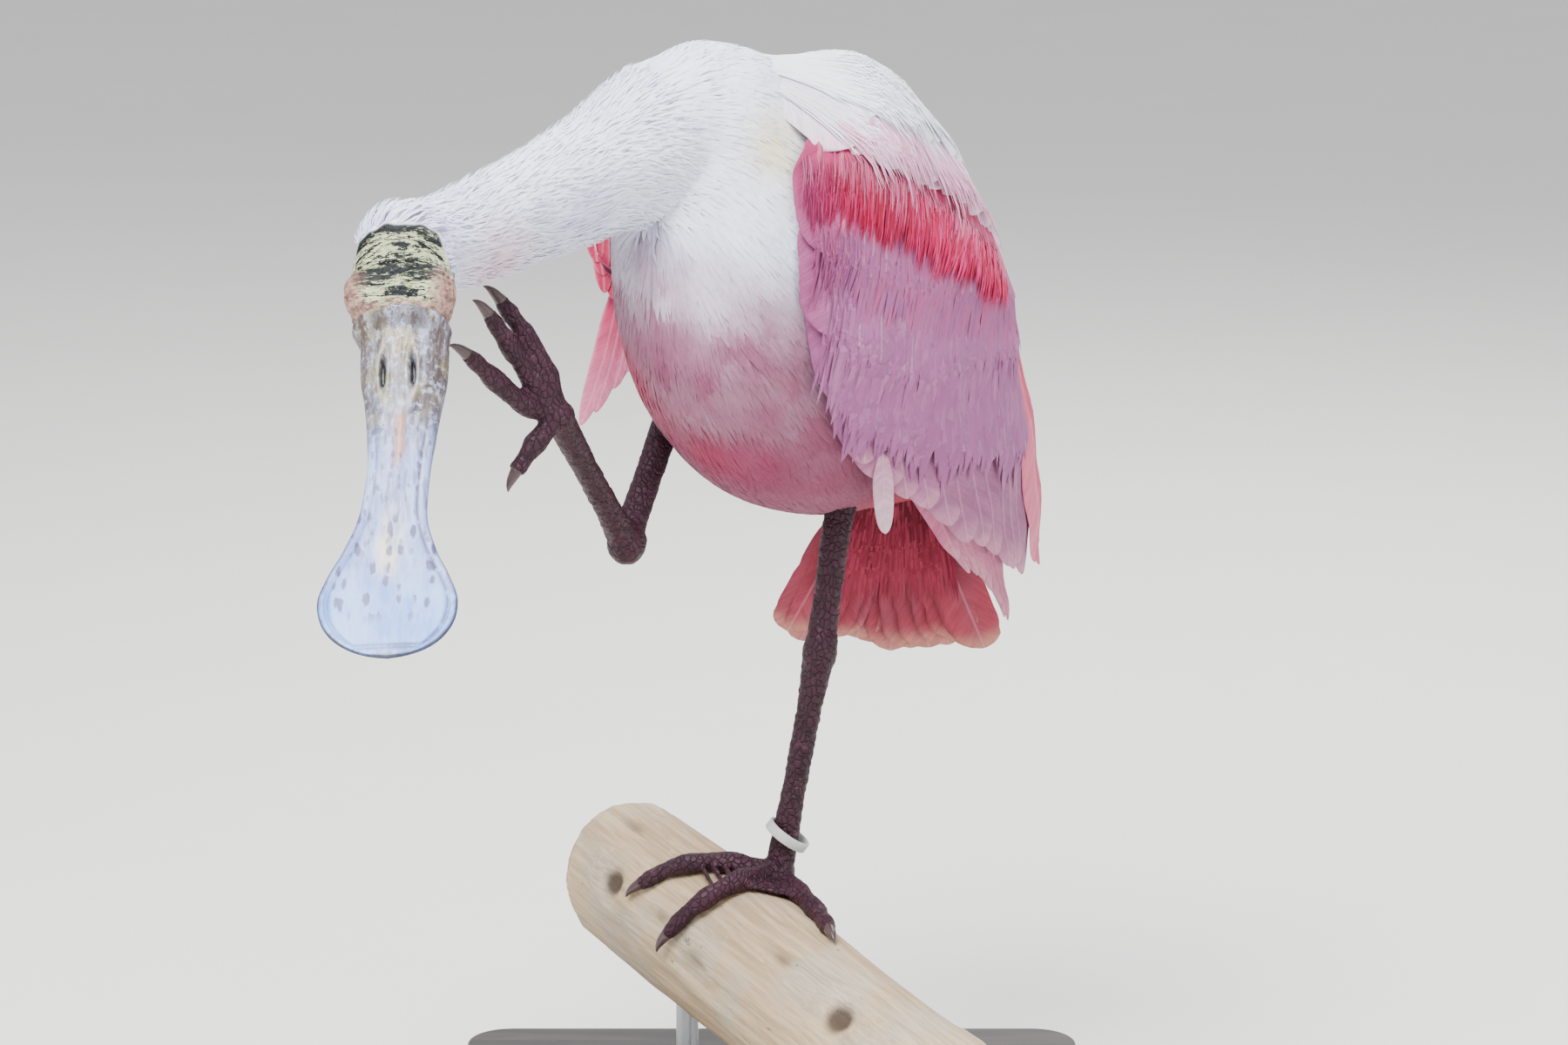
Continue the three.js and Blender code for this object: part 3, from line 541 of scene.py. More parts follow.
# Skin of the body, neck and head in one piece. It lies under the plumage by the coat's depth.
bodySize = {
    "coat": 3.4,
    "squareness": 0.87,
    "rows": 60,
    "sides": 56,
    "rings": (                  # x, half width, top, bottom, widest level
        (-138, 14, 24, 4, 14), (-122, 26, 32, -10, 12), (-98, 43, 51, -34, 8), (-68, 54, 65, -62, 2),
        (-30, 62, 77, -84, -2), (8, 63, 81, -93, -4), (44, 59, 80, -91, -2), (76, 52, 69, -75, 2),
        (102, 42, 52, -48, 4), (122, 32, 40, -24, 8), (137, 16, 28, 0, 13),
    ),
}
neckSize = {
    "line": (
        (-146, -142, 420), (-128, -123, 421), (-100, -99, 430), (-70, -71, 441), (-42, -46, 452), (-16, -20, 444),
    ),
    "radii": (19, 21, 23.5, 27.5, 36, 40),
    "coat": 3.6,
}
headSize = {
    "rings": (                  # x, half width, half depth, level of the middle
        (-42, 9, 9, -3), (-37, 14, 14, -2), (-28, 17.6, 17.4, -1.4), (-16, 19.2, 19.6, -2.6), (-4, 19, 20, -4.6),
        (6, 18.4, 19, -6), (14, 17.8, 16.8, -6.8), (20, 17.7, 14.8, -6.8), (22.5, 17.2, 14.2, -6.8),
    ),
    "steps": 48,                # along the head and round it
    "brow": ((1, 13, 5), (12, 6.4, 8.4)),
    "ear": (-17, -1.5),
    # place, bend and depth of each
    "creases": ((-5.5, 0.004, 0.75), (-20, 0.012, 0.6), (-13, -0.004, 0.35), (3, 0.006, 0.4)),
    "eye": (0, 14.4, 2),
    "eyeRadius": 6.4,
    "opening": 4.3,
    "lid": 5.9,
    "bareTo": -25,              # the bare skin ends here on the crown
    "neckWay": (-0.56, 0.69, -0.45),
    "neckStart": (-29, 0, -6),
    "voxel": 1.9,
    "faceBox": (-46, 26, 30),   # from here forward, this far to each side, up and down, the face is shaped
    "fineBox": (-33, 25, 28),   # and here the mesh is finer
    "gaze": (0.16, 0.02),
    "cornea": 0.55,
}


def torsoShape():
    rows = curvePoints(bodySize["rings"], np.linspace(0, 1, bodySize["rows"]))
    angle = onceRound(bodySize["sides"])
    square = np.where(np.sin(angle) > 0, bodySize["squareness"], 1)
    rise = np.sign(np.sin(angle)) * np.abs(np.sin(angle)) ** square
    across = np.sign(np.cos(angle)) * np.abs(np.cos(angle)) ** square
    x, width, top, bottom, level = (rows[:, n, None] for n in range(5))
    coat = bodySize["coat"]
    depth = np.where(rise > 0, top - level, level - bottom) - coat
    return loft(bodyPoint(x * 0.98, across * (width - coat), level + rise * depth))


def headShape():
    rows = curvePoints(headSize["rings"], np.linspace(0, 1, headSize["steps"]))
    angle = onceRound(headSize["steps"])
    x, width, depth, middle = (rows[:, n, None] for n in range(4))
    shapes = [loft(headPoint(x, np.cos(angle) * width, middle + np.sin(angle) * depth))]
    centre, radii = headSize["brow"]
    for side in (1, -1):
        place = headPoint(centre[0], side * centre[1], centre[2])
        shapes.append(ball(place, radii, headTurn))
    return shapes


def featherEdge(head):          # above zero where the neck's feathers grow, in the head's own frame
    way = np.array(headSize["neckWay"])
    back = (head - np.array(headSize["neckStart"])) @ way
    rough = 1.6 * grain(head, 1 / 5, 21)
    return np.maximum(back - 1, headSize["bareTo"] - head[:, 0]) + rough


def shapeFace(head, normals):   # lids, ear, mouth corners, creases and cracked crown skin
    moved = np.zeros_like(head)
    x, y, z = head.T
    inner = -featherEdge(head)
    bare = ease(inner, 0, 4)
    (eyeX, eyeY, eyeZ), (earX, earZ) = headSize["eye"], headSize["ear"]
    for side in (1, -1):
        r = np.hypot(x - eyeX, (z - eyeZ) * 1.1)
        beside = ease(side * y, 7, 11)
        slope = np.arctan2(z - eyeZ, x - eyeX)
        puff = 1.6 * swell(r, 8.4, 4.6)
        lid = 2.0 * swell(r, headSize["lid"], 1.15)
        folds = 0.28 * np.sin(r * 2.6 + 1.2 * np.sin(slope * 3)) * ease(r, 7, 8.5) * ease(-r, -15, -11)
        moved[:, 1] += side * beside * (puff * ease(r, 4.4, 7) + lid + folds)
        depth = eyeY + 0.6 - side * y
        moved[:, 1] += side * beside * depth * ease(-r, -headSize["opening"] - 0.8, -headSize["opening"])
        ear = np.hypot((x - earX) / 1.2, (z - earZ) / 1.9)
        moved[:, 1] -= side * beside * 2.6 * ease(-ear, -1.5, -0.5) * bare
        moved[:, 1] += side * beside * 0.7 * swell(ear, 1.9, 0.6) * bare
        mouth = swell(z + 8 + 0.05 * (x - 20), 0, 0.8) * ease(x, 3, 9) * beside
        moved[:, 1] -= side * 1.5 * mouth
    under = 0.12 * ease(x, 12.5, 16)          # drawn in under the horn of the bill
    moved[:, 1] -= y * under
    moved[:, 2] -= (z + 6.8) * under * ease(z, -12, -6)
    crown = ease(z, 2, 8) * bare * ease(-x, -16, -8)
    wavy = x + 1.6 * grain(head, (0.02, 0.12, 0.02), 9) * 3
    cracks = grain(np.stack([wavy * 1.9, y * 0.28, z * 0.3], axis=-1), 1, 12)
    small = grain(np.stack([wavy * 4.2, y * 0.9, z], axis=-1), 1, 14)
    crack = ease(-np.abs(cracks), -0.16, 0)
    relief = crown * (-0.5 * crack + 0.16 * small)
    for place, bend, depth in headSize["creases"]:
        relief -= crown * depth * swell(wavy - place - bend * y * y, 0, 0.75)
    soft = ease(x, 6, 16) * bare * 0.3 * grain(head, 0.55, 30)
    throat = ease(-z, 8, 16) * bare * 0.25 * np.sin(y * 2.1 + grain(head, 0.2, 31) * 2)
    ridge = 1.1 * bare * ease(z, 2, 8) * swell(x, -33, 3.2)
    return head + moved + normals * (relief + soft + throat + ridge)[:, None]


def faceMasks(head):
    x, y, z = head.T
    inner = -featherEdge(head)
    crown = ease(z, -1, 5) * ease(-x, -19, -14)
    wobble = 2.2 * grain(head, (0.05, 0.16, 0.05), 40)
    band = 1.25 * swell(x + 3 + wobble, 0, 6.4) * ease(z, 3, 8)
    middle = 0.9 * swell(x, 6, 5) * np.exp(-(y / 9) ** 4) * ease(z, 3, 7)
    blot = 0.85 * swell(x, -14, 4.5) * swell(y, 2, 4) * ease(z, 4, 8)
    crease = 1.1 * swell(x + 16 - 0.012 * y * y, 0, 1.2) * ease(np.abs(y), 5, 10) * ease(z, 2, 8)
    rear = 1.2 * ease(-x + 1.5 * wobble, 15.5, 21) * ease(z, -8, -2)
    light = 0.42 * ease(z, 3, 8)
    dark = np.clip(np.maximum.reduce([band, middle, blot, crease, rear, light]), 0, 1.15)
    r = np.hypot(x - 3, z - 2)
    besideEye = ease(np.abs(y), 10, 15) * ease(-r, -14, -8)
    low = ease(x + 2.5 * grain(head, 0.16, 41), 8.5, 11) * (0.55 + 0.45 * ease(np.abs(y), 3, 9))
    orange = np.clip(np.maximum(besideEye, low), 0, 1)
    return {"crown": crown, "dark": dark, "orange": orange, "feathered": ease(-inner, -1.5, 1.0)}


def bareSkinFinish():
    made, tree = material("bareHeadSkin", 0.55, Specular_IOR_Level=0.25)
    place = attribute(tree, "headSpace", "Vector")
    lines = stretched(tree, place, (4.2, 0.75, 0.75))
    streak = noisy(tree, lines, 150.0, 5.0, 0.7, 0.6)
    flecks = noisy(tree, lines, 420.0, 3.0, 0.75)
    yellow = between(tree, streak, 0.35, 0.62, (150, 158, 116), (220, 224, 184))
    torn = maths(tree, "ADD", stepped(tree, streak, 0.3, 0.7), stepped(tree, flecks, 0.3, 0.7))
    lean = maths(tree, "ADD", times(tree, torn, 0.62), times(tree, attribute(tree, "dark"), 0.46))
    black = stepped(tree, lean, 0.8, 0.92)
    ink = between(tree, flecks, 0.4, 0.6, (5, 9, 12), (14, 22, 24))
    warm = noisy(tree, place, 210.0, 5.0, 0.7)
    cheek = between(tree, warm, 0.4, 0.6, (132, 128, 96), (196, 190, 160))
    orange = between(tree, warm, 0.34, 0.64, (116, 84, 74), (188, 152, 138))
    brown = stepped(tree, noisy(tree, place, 120.0, 4.0, 0.7), 0.5, 0.62)
    orange = tinted(tree, orange, (80, 56, 50), brown, 0.8)
    face = blended(tree, attribute(tree, "crown"), cheek, blended(tree, black, yellow, ink))
    face = blended(tree, black, face, ink)
    face = blended(tree, attribute(tree, "orange"), face, orange)
    colour = blended(tree, attribute(tree, "feathered"), face, attribute(tree, "tint", "Color"))
    height = maths(tree, "ADD", times(tree, streak, 0.7), times(tree, flecks, 0.4))
    return surfaced(made, colour, (height, 0.6, 0.0006), stepped(tree, streak, 0.3, 0.7, (0.42, 0.7)))


def bodySkin():
    neckRadii = [r - neckSize["coat"] for r in neckSize["radii"]]
    neck = loft(tubeRings(neckSize["line"], neckRadii, 36, 40))
    piece = fused("bodySkin", [torsoShape(), neck, *headShape()], headSize["voxel"], 5)
    built = bmesh.new()
    built.from_mesh(piece.data)
    for _ in range(2):
        near = [face for face in built.faces if isFace(face)]
        edges = list({edge for face in near for edge in face.edges})
        bmesh.ops.subdivide_edges(built, edges=edges, cuts=1, use_grid_fill=True)
    near = list({vertex for face in built.faces if isFace(face) for vertex in face.verts})
    for _ in range(10):
        bmesh.ops.smooth_vert(built, verts=near, factor=0.5, use_axis_x=True, use_axis_y=True, use_axis_z=True)
    bmesh.ops.triangulate(built, faces=[face for face in built.faces if len(face.verts) > 4])
    built.to_mesh(piece.data)
    built.free()
    points = vertexArray(piece.data) / mm
    normals = vertexArray(piece.data, "normal")
    head = toHead(points)
    back, wide, high = headSize["faceBox"]
    face = (head[:, 0] > back) & (np.abs(head[:, 1]) < wide) & (np.abs(head[:, 2]) < high)
    shaped = shapeFace(head[face], normals[face] @ headTurn)
    masks = faceMasks(head)
    for key in ("crown", "dark", "orange"):
        masks[key] = np.where(face, masks[key], 0)
    masks["feathered"] = np.where(face, masks["feathered"], 1)
    points[face] = shaped @ headTurn.T + headCentre
    setFields(piece.data, {**masks, "headSpace": head * mm, "tint": plumageColour(points)})
    reshaped(piece, points)
    finishPiece(piece, bareSkinFinish(), "bare_head_skin", "torso", "neck_lower", "neck_upper", "head")
    print("skin of head, neck and body:", len(piece.data.polygons), "faces")
    return piece


def isFace(face):
    head = headTurn.T @ (np.array(face.calc_center_median()) / mm - headCentre)
    back, wide, high = headSize["fineBox"]
    return back < head[0] and abs(head[1]) < wide and abs(head[2]) < high


skin = bodySkin()


# Eyes: red iris, black pupil, wet surface
def eyeFinish():
    made, tree = material("wetEye", 0.06, Coat_Weight=0.6, Coat_Roughness=0.03)
    gaze = attribute(tree, "gaze")
    red = between(tree, noisy(tree, objectSpace(tree), 900.0, 3.0), 0.35, 0.65, (96, 10, 14), (176, 24, 26))
    iris = blended(tree, stepped(tree, gaze, 0.70, 0.80), tone(40, 14, 14), red)
    return surfaced(made, tinted(tree, iris, (6, 5, 6), stepped(tree, gaze, 0.915, 0.935)))


def eye(name, side, finish):
    x, y, z = headSize["eye"]
    radius = headSize["eyeRadius"]
    turn = headTurn @ np.array(Euler((-side * 90 * deg, 0, 0)).to_matrix())
    centre = headPoint(x, side * y, z)
    points, faceSets = ball(centre, (radius, radius, radius), turn, 48)
    forward, up = headSize["gaze"]
    way = headTurn @ unit(np.array([forward, side, up]))
    gaze = unit(points - centre) @ way
    bulge = way * headSize["cornea"]        # the clear front stands out a little
    points = points + bulge * ease(gaze, 0.78, 0.98)[:, None]
    piece = meshObject(name, points, faceSets, fields={"gaze": gaze})
    finishPiece(piece, finish, "eye", "eye_left" if side > 0 else "eye_right")


wetEye = eyeFinish()
eye("eyeLeft", 1, wetEye)
eye("eyeRight", -1, wetEye)
print("eyes")


# Bill: two halves with a sunk line along each side, nostrils and a mottled horn surface
bill = {
    "start": 20.4,
    "length": 146.6,
    "over": 7.6,                # the horn of the upper half reaches this far up the forehead
    "mouth": -8,
    "shape": (                  # share of the length, half width, top, bottom, sideways place
        (0, 17.4, 7.2, -20.4, 1.6), (0.1, 17, 5.2, -19.2, 1.8), (0.2, 15, 1.4, -16.6, 2),
        (0.3, 13.4, -1.6, -14.4, 1.8), (0.42, 12.2, -3.8, -12.6, 1.2), (0.54, 12.9, -4.8, -11.6, 0),
        (0.66, 17.6, -5.4, -11, -0.8), (0.75, 23.4, -5.8, -10.7, -1), (0.83, 26.75, -6, -10.4, -0.8),
        (0.91, 24.2, -6.2, -10.2, -0.4), (0.965, 16, -6.5, -9.8, 0), (1, 5, -6.9, -9.2, 0),
    ),
    "spoon": (0.83, 26.75),      # widest place and half width there
    "rows": 170,
    "columns": 72,
    "nostril": (39, 5.9, 0.6),   # how far along, how far out, and the middle it is measured from
    "nostrilReach": (7.6, 1.5),
}


def billRows(share):
    table = np.array(bill["shape"])
    smooth = curvePoints(table, np.linspace(0, 1, 400))
    width, top, bottom, sway = (np.interp(share, smooth[:, 0], smooth[:, n]) for n in range(1, 5))
    spoon = bill["spoon"]
    tipward = np.clip((share - spoon[0]) / (1 - spoon[0]), 0, 0.9995)
    width = np.where(share > spoon[0], spoon[1] * (1 - tipward ** 2.2) ** 0.5, width)
    return width, top, bottom, sway


def toNostril(x, y, side):
    (forward, out, middle), (long, wide) = bill["nostril"], bill["nostrilReach"]
    return np.hypot((x - forward) / long, (y - middle - side * out) / wide)


def billHalf(name, face, finish, *nodes):
    over = bill["over"] if face > 0 else 0.0
    share = -over / bill["length"] + (1 + over / bill["length"]) * (1 - (1 - np.linspace(0, 1, bill["rows"])) ** 1.25)
    width, top, bottom, sway = (row[:, None] for row in billRows(np.maximum(share, 0)))
    onBrow = np.maximum(-share, 0)[:, None] * bill["length"]
    width, top, sway = width + onBrow * 0.3, top + onBrow * 0.64, sway * (1 - onBrow / 9)
    angle = np.linspace(0, np.pi, bill["columns"])[None, :]
    sharp = np.where(share < 0.3, 0.9, 0.7)[:, None]
    rise = np.sin(angle) ** sharp
    inner = bill["mouth"] + face * 0.1
    outer = top if face > 0 else bottom
    x = bill["start"] + share[:, None] * bill["length"] + 0 * angle
    across = np.cos(angle)
    y = sway + across * width
    z = inner + face * 0.4 + (outer - inner - face * 0.4) * rise
    fromEdge = width * (1 - np.abs(across))
    tipward = (1 - share[:, None]) * bill["length"]
    rim = np.minimum(fromEdge, tipward * 0.8)
    line = swell(rim, 3.4, 0.75) * ease(share, 0.18, 0.34)[:, None]
    rib = swell(across, 0, 0.16) * ease(share, 0.06, 0.2)[:, None] * ease(-share, -0.62, -0.3)[:, None]
    solid = np.stack([x, y, z], axis=-1)
    horn = grain(solid, (0.22, 0.7, 0.7), 50) * ease(-share, -0.5, -0.1)[:, None]
    ridges = grain(solid, (0.9, 0.16, 0.2), 52) * ease(-share, -0.42, -0.2)[:, None]
    z = z + face * (-0.5 * line + 0.55 * rib + 0.34 * horn + 0.2 * ridges) * np.minimum(rise * 2, 1)
    if face > 0:
        for side in (1, -1):
            r = toNostril(x, y, side)
            z = z + 0.75 * swell(r, 1.5, 0.5) - 3.4 * ease(-r, -1.1, -0.45)
    under = np.linspace(-0.9, 0.9, 9)[None]
    flatX, flatY = x[:, :1] + 0 * under, sway + under * width
    flatZ = inner + 0 * flatX
    x, y, z = (np.concatenate([a, b], axis=1) for a, b in ((x, flatX), (y, flatY), (z, flatZ)))
    points, faceSets = loft(headPoint(x, y, z))
    flat = np.stack([x, y, z], axis=-1).reshape(-1, 3)
    ends = [[bill["start"] - over, 0, bill["mouth"]], [bill["start"] + bill["length"], 0, bill["mouth"]]]
    flat = np.concatenate([flat, ends])
    k = (flat[:, 0] - bill["start"]) / bill["length"]
    w, _, _, s = billRows(np.clip(k, 0, 1))
    edge = np.minimum(w - np.abs(flat[:, 1] - s), (1 - k) * bill["length"] * 0.8)
    nostrilShade, rim = np.zeros(len(flat)), np.zeros(len(flat))
    if face > 0:
        for side in (1, -1):
            r = toNostril(flat[:, 0], flat[:, 1], side)
            onTop = flat[:, 2] > bill["mouth"] + 1
            # painted shade: the inside of each nostril's sunk opening
            nostrilShade = np.maximum(nostrilShade, ease(-r, -0.95, -0.6) * onTop)
            rim = np.maximum(rim, swell(r, 1.45, 0.3) * onTop)
    brow = swell(flat[:, 0], 17.5, 3.6) * swell(np.abs(flat[:, 1] - 0.4), 7.5, 3.6)
    # painted shade in the sunk line along each side, full on the bird's left and weaker on its right
    grooveShade = swell(edge, 3.5, 0.8) * ease(k, 0.12, 0.2) * np.where(flat[:, 1] > s, 1.0, 0.4)
    fields = {
        "billSpace": flat * mm, "share": k, "edge": edge, "middle": np.abs(flat[:, 1] - s), "nostrilShade": nostrilShade,
        "rim": rim, "brow": brow, "grooveShade": grooveShade,
    }
    piece = meshObject(name, points, faceSets, fields=fields)
    finishPiece(piece, finish, "bill_horn", *nodes)


def billFinish():
    made, tree = material("billHorn", 0.38, Specular_IOR_Level=0.5, Coat_Weight=0.12, Coat_Roughness=0.3)
    place = attribute(tree, "billSpace", "Vector")
    share, edge, middle = (attribute(tree, key) for key in ("share", "edge", "middle"))
    long = stretched(tree, place, (0.3, 1.0, 1.0))
    broad = noisy(tree, long, 90.0, 4.0, 0.65)
    fine = noisy(tree, stretched(tree, place, (0.24, 1.0, 1.0)), 420.0, 4.0, 0.7)
    pale = between(tree, broad, 0.36, 0.64, (116, 136, 198), (168, 184, 232))
    spoonBlue = between(tree, broad, 0.36, 0.64, (90, 138, 222), (132, 170, 238))
    baseTone = between(tree, broad, 0.4, 0.6, (70, 58, 54), (132, 134, 150))
    olive = stepped(tree, noisy(tree, place, 70.0, 3.0), 0.5, 0.62)
    baseTone = tinted(tree, baseTone, (150, 142, 92), olive, 0.55)
    speckle = stepped(tree, noisy(tree, place, 330.0, 4.0, 0.7), 0.5, 0.62)
    baseTone = tinted(tree, baseTone, (186, 196, 222), speckle, 0.62)
    colour = blended(tree, stepped(tree, share, 0.2, 0.42), baseTone, pale)
    colour = blended(tree, stepped(tree, share, 0.62, 0.86), colour, spoonBlue)
    brown = stepped(tree, noisy(tree, long, 190.0, 5.0, 0.75), 0.48, 0.6)
    colour = tinted(tree, colour, (74, 56, 52), brown, stepped(tree, share, 0.04, 0.36, (0.95, 0.0)))
    colour = tinted(tree, colour, (58, 46, 44), attribute(tree, "brow"), stepped(tree, fine, 0.2, 0.42), 0.9)
    for over, reach, stretch, rough, strength in (          # tan near the base, straw before the spoon
        ((182, 112, 40), (1.0, 3.6), (0.22, 0.28, 0.36, 0.46), (fine, 0.36, 0.5), 0.75),
        ((222, 208, 150), (2.0, 6.5), (0.5, 0.66, 0.72, 0.8), (broad, 0.36, 0.56), 0.7),
    ):
        onMiddle = times(tree, fading(tree, middle, *reach), window(tree, share, *stretch))
        colour = tinted(tree, colour, over, onMiddle, stepped(tree, *rough), strength)
    streaks = stepped(tree, noisy(tree, stretched(tree, place, (0.14, 1.0, 1.0)), 520.0, 3.0, 0.6), 0.52, 0.62)
    colour = tinted(tree, colour, (98, 96, 120), streaks, window(tree, share, 0.1, 0.2, 0.5, 0.74), 0.6)
    cell = stretched(tree, place, (0.42, 1.0, 0.0))
    wander = wire(tree, "ShaderNodeTexNoise", {"Vector": cell, "Scale": 500.0, "Detail": 2.0}).outputs["Color"]
    inputs = {0: wander, 1: (0.002, 0.002, 0.0), 2: cell}
    cell = wire(tree, "ShaderNodeVectorMath", inputs, operation="MULTIPLY_ADD").outputs[0]
    for scale, zone, strength in ((300.0, (0.5, 0.6, 0.84, 0.93), 0.9), (470.0, (0.16, 0.28, 0.62, 0.8), 0.6)):
        spots = wire(tree, "ShaderNodeTexVoronoi", {"Vector": cell, "Scale": scale, "Randomness": 1.0})
        size = wire(tree, "ShaderNodeSeparateColor", {0: spots.outputs["Color"]}).outputs[0]
        reach = maths(tree, "ADD", spots.outputs["Distance"], stepped(tree, size, 0.36, 0.9))
        spot = fading(tree, reach, 0.28, 0.46)
        colour = tinted(tree, colour, (58, 60, 106), spot, window(tree, share, *zone), strength)
    dashes = stepped(tree, noisy(tree, place, 200.0, 2.0), 0.34, 0.5)
    # painted shade: dark dashes along the sunk side lines
    colour = tinted(tree, colour, (84, 78, 98), attribute(tree, "grooveShade"), dashes, 0.8)
    margin = times(tree, fading(tree, edge, 0.6, 4.6), stepped(tree, share, 0.6, 0.86))
    blotches = stepped(tree, noisy(tree, place, 240.0, 4.0, 0.7), 0.44, 0.58)
    colour = tinted(tree, colour, (96, 98, 128), margin, blotches, 0.75)
    lip = times(tree, fading(tree, edge, 0.2, 1.3), stepped(tree, share, 0.3, 0.75))
    colour = tinted(tree, colour, (40, 38, 54), lip, 0.85)
    colour = tinted(tree, colour, (160, 152, 104), attribute(tree, "rim"), 0.4)
    # painted shade: near black inside each nostril
    colour = tinted(tree, colour, (14, 10, 12), attribute(tree, "nostrilShade"))
    height = times(tree, maths(tree, "ADD", fine, broad), stepped(tree, share, 0.2, 0.6, (1.0, 0.25)))
    return surfaced(made, colour, (height, 0.5, 0.0007), stepped(tree, fine, 0.3, 0.7, (0.3, 0.5)))


billHorn = billFinish()
billHalf("billUpper", 1, billHorn, "upper_bill")
billHalf("billLower", -1, billHorn, "lower_bill")
print("bill")


# The log, the legs' lines and the toes
log = {"turn": 60, "slope": 8, "height": 86, "offset": 16, "radius": 33, "back": -106, "front": 190}
turnCos, turnSin = math.cos(log["turn"] * deg), math.sin(log["turn"] * deg)
slopeCos, slopeSin = math.cos(log["slope"] * deg), math.sin(log["slope"] * deg)
logAxis = np.array([turnCos * slopeCos, -turnSin * slopeCos, -slopeSin])
logSide = np.array([-turnSin, -turnCos, 0])
logTop = unit(-np.cross(logAxis, logSide))
logMiddle = logSide * log["offset"] + np.array([0, 0, log["height"]])


def logPoint(distance, angle, radius):
    angle = np.asarray(angle) * deg
    distance = np.asarray(distance, float)
    out = np.sin(angle)[..., None] * logSide + np.cos(angle)[..., None] * logTop
    return logMiddle + distance[..., None] * logAxis + out * np.asarray(radius)[..., None]


def onLog(steps):
    steps = np.array(steps, float)
    return logPoint(steps[:, 0], steps[:, 1], log["radius"] + steps[:, 2])


leg = {
    "tibia": 5.6, "tarsus": 5.3, "ankle": 9, "toe": 4.6, "claw": 9, "voxel": 0.8,
    "ball": (7.2, 7.2, 7.0),
    "webs": (("inner", "middle", 0.5), ("middle", "outer", 0.36)),      # two toes and how far along them it reaches
}
leftBall = onLog([[-3, -27, 8]])[0]
rightBall = np.array([-86.7, -106.6, 346.0])
legLines = {
    "left": {"root": (37, 14, 312), "exit": (29, 2, 279), "ankle": (21, -6, 222), "ball": leftBall},
    "right": {"root": (-26, 20, 365), "exit": (-42, -2, 331), "ankle": (-61.5, -39, 279), "ball": rightBall},
}
toeLines = {
    "left": {
        "hind": onLog([(-3, -27, 7), (-5, -58, 5.4), (-9, -86, 4.6)]),
        "inner": onLog([(-3, -25, 7), (-16, 2, 5.8), (-30, 28, 5), (-40, 52, 4.4)]),
        "middle": onLog([(-2, -24, 7), (4, 10, 5.8), (2, 40, 5.2), (-5, 68, 4.4)]),
        "outer": onLog([(-1, -27, 7), (20, -26, 5.8), (42, -20, 5), (60, -12, 4.4)]),
    },
    "right": {
        "hind": np.array([rightBall, (-95.7, -114.7, 336), (-103, -120.5, 326)]),
        "inner": np.array([rightBall, (-97.6, -112.9, 364), (-107, -119, 380), (-113.5, -122.5, 391)]),
        "middle": np.array([rightBall, (-92, -109, 366), (-101, -112, 383), (-109, -113.5, 395)]),
        "outer": np.array([rightBall, (-100.5, -115.5, 353.4), (-113.9, -125, 367), (-122, -130.5, 376)]),
    },
}


def legFinish():
    made, tree = material("scaledLeg", 0.55, Specular_IOR_Level=0.3)
    place = objectSpace(tree)
    inputs = {"Vector": stretched(tree, place, (1, 1, 0.72)), "Scale": 400.0}
    cell = wire(tree, "ShaderNodeTexVoronoi", inputs, feature="DISTANCE_TO_EDGE").outputs["Distance"]
    colour = between(tree, cell, 0.02, 0.14, (36, 10, 24), (60, 22, 40))
    colour = darkened(tree, colour, mottled(tree, 60.0, 0.5))
    worn = stepped(tree, noisy(tree, place, 130.0, 4.0, 0.7), 0.56, 0.7)
    colour = tinted(tree, colour, (104, 66, 80), worn, 0.3)
    return surfaced(made, colour, (stepped(tree, cell, 0.0, 0.16), 0.7, 0.0006))


def towards(start, end, k):
    return np.array(start, float) * (1 - k) + np.array(end, float) * k


def footShapes(name):
    ballPlace = legLines[name]["ball"]
    shapes = [ball(ballPlace, leg["ball"])]
    lines = toeLines[name]
    for key, points in lines.items():
        radii = np.array([leg["toe"] + 0.5, leg["toe"], leg["toe"] - 0.5, leg["toe"] - 1.5])
        k = np.linspace(0, 1, 61)
        rings = tubeRings(points, radii, 24, 60)
        centres = rings.mean(axis=1, keepdims=True)
        joints = 1 + 0.09 * np.cos(k * 2 * np.pi * (2 if key == "hind" else 3.4))[:, None, None]
        shapes.append(loft(centres + (rings - centres) * joints))
    for first, second, reach in leg["webs"]:
        for k in np.linspace(0.1, 1, 7):
            a = curvePoints(lines[first], np.array([k * reach]))[0]
            b = curvePoints(lines[second], np.array([k * reach]))[0]
            thin = 2.0 - 0.7 * k
            rings = tubeRings([a, towards(a, b, 0.5), b], [thin, thin * 0.8, thin], 12, 10)
            shapes.append(loft(rings))
    return shapes


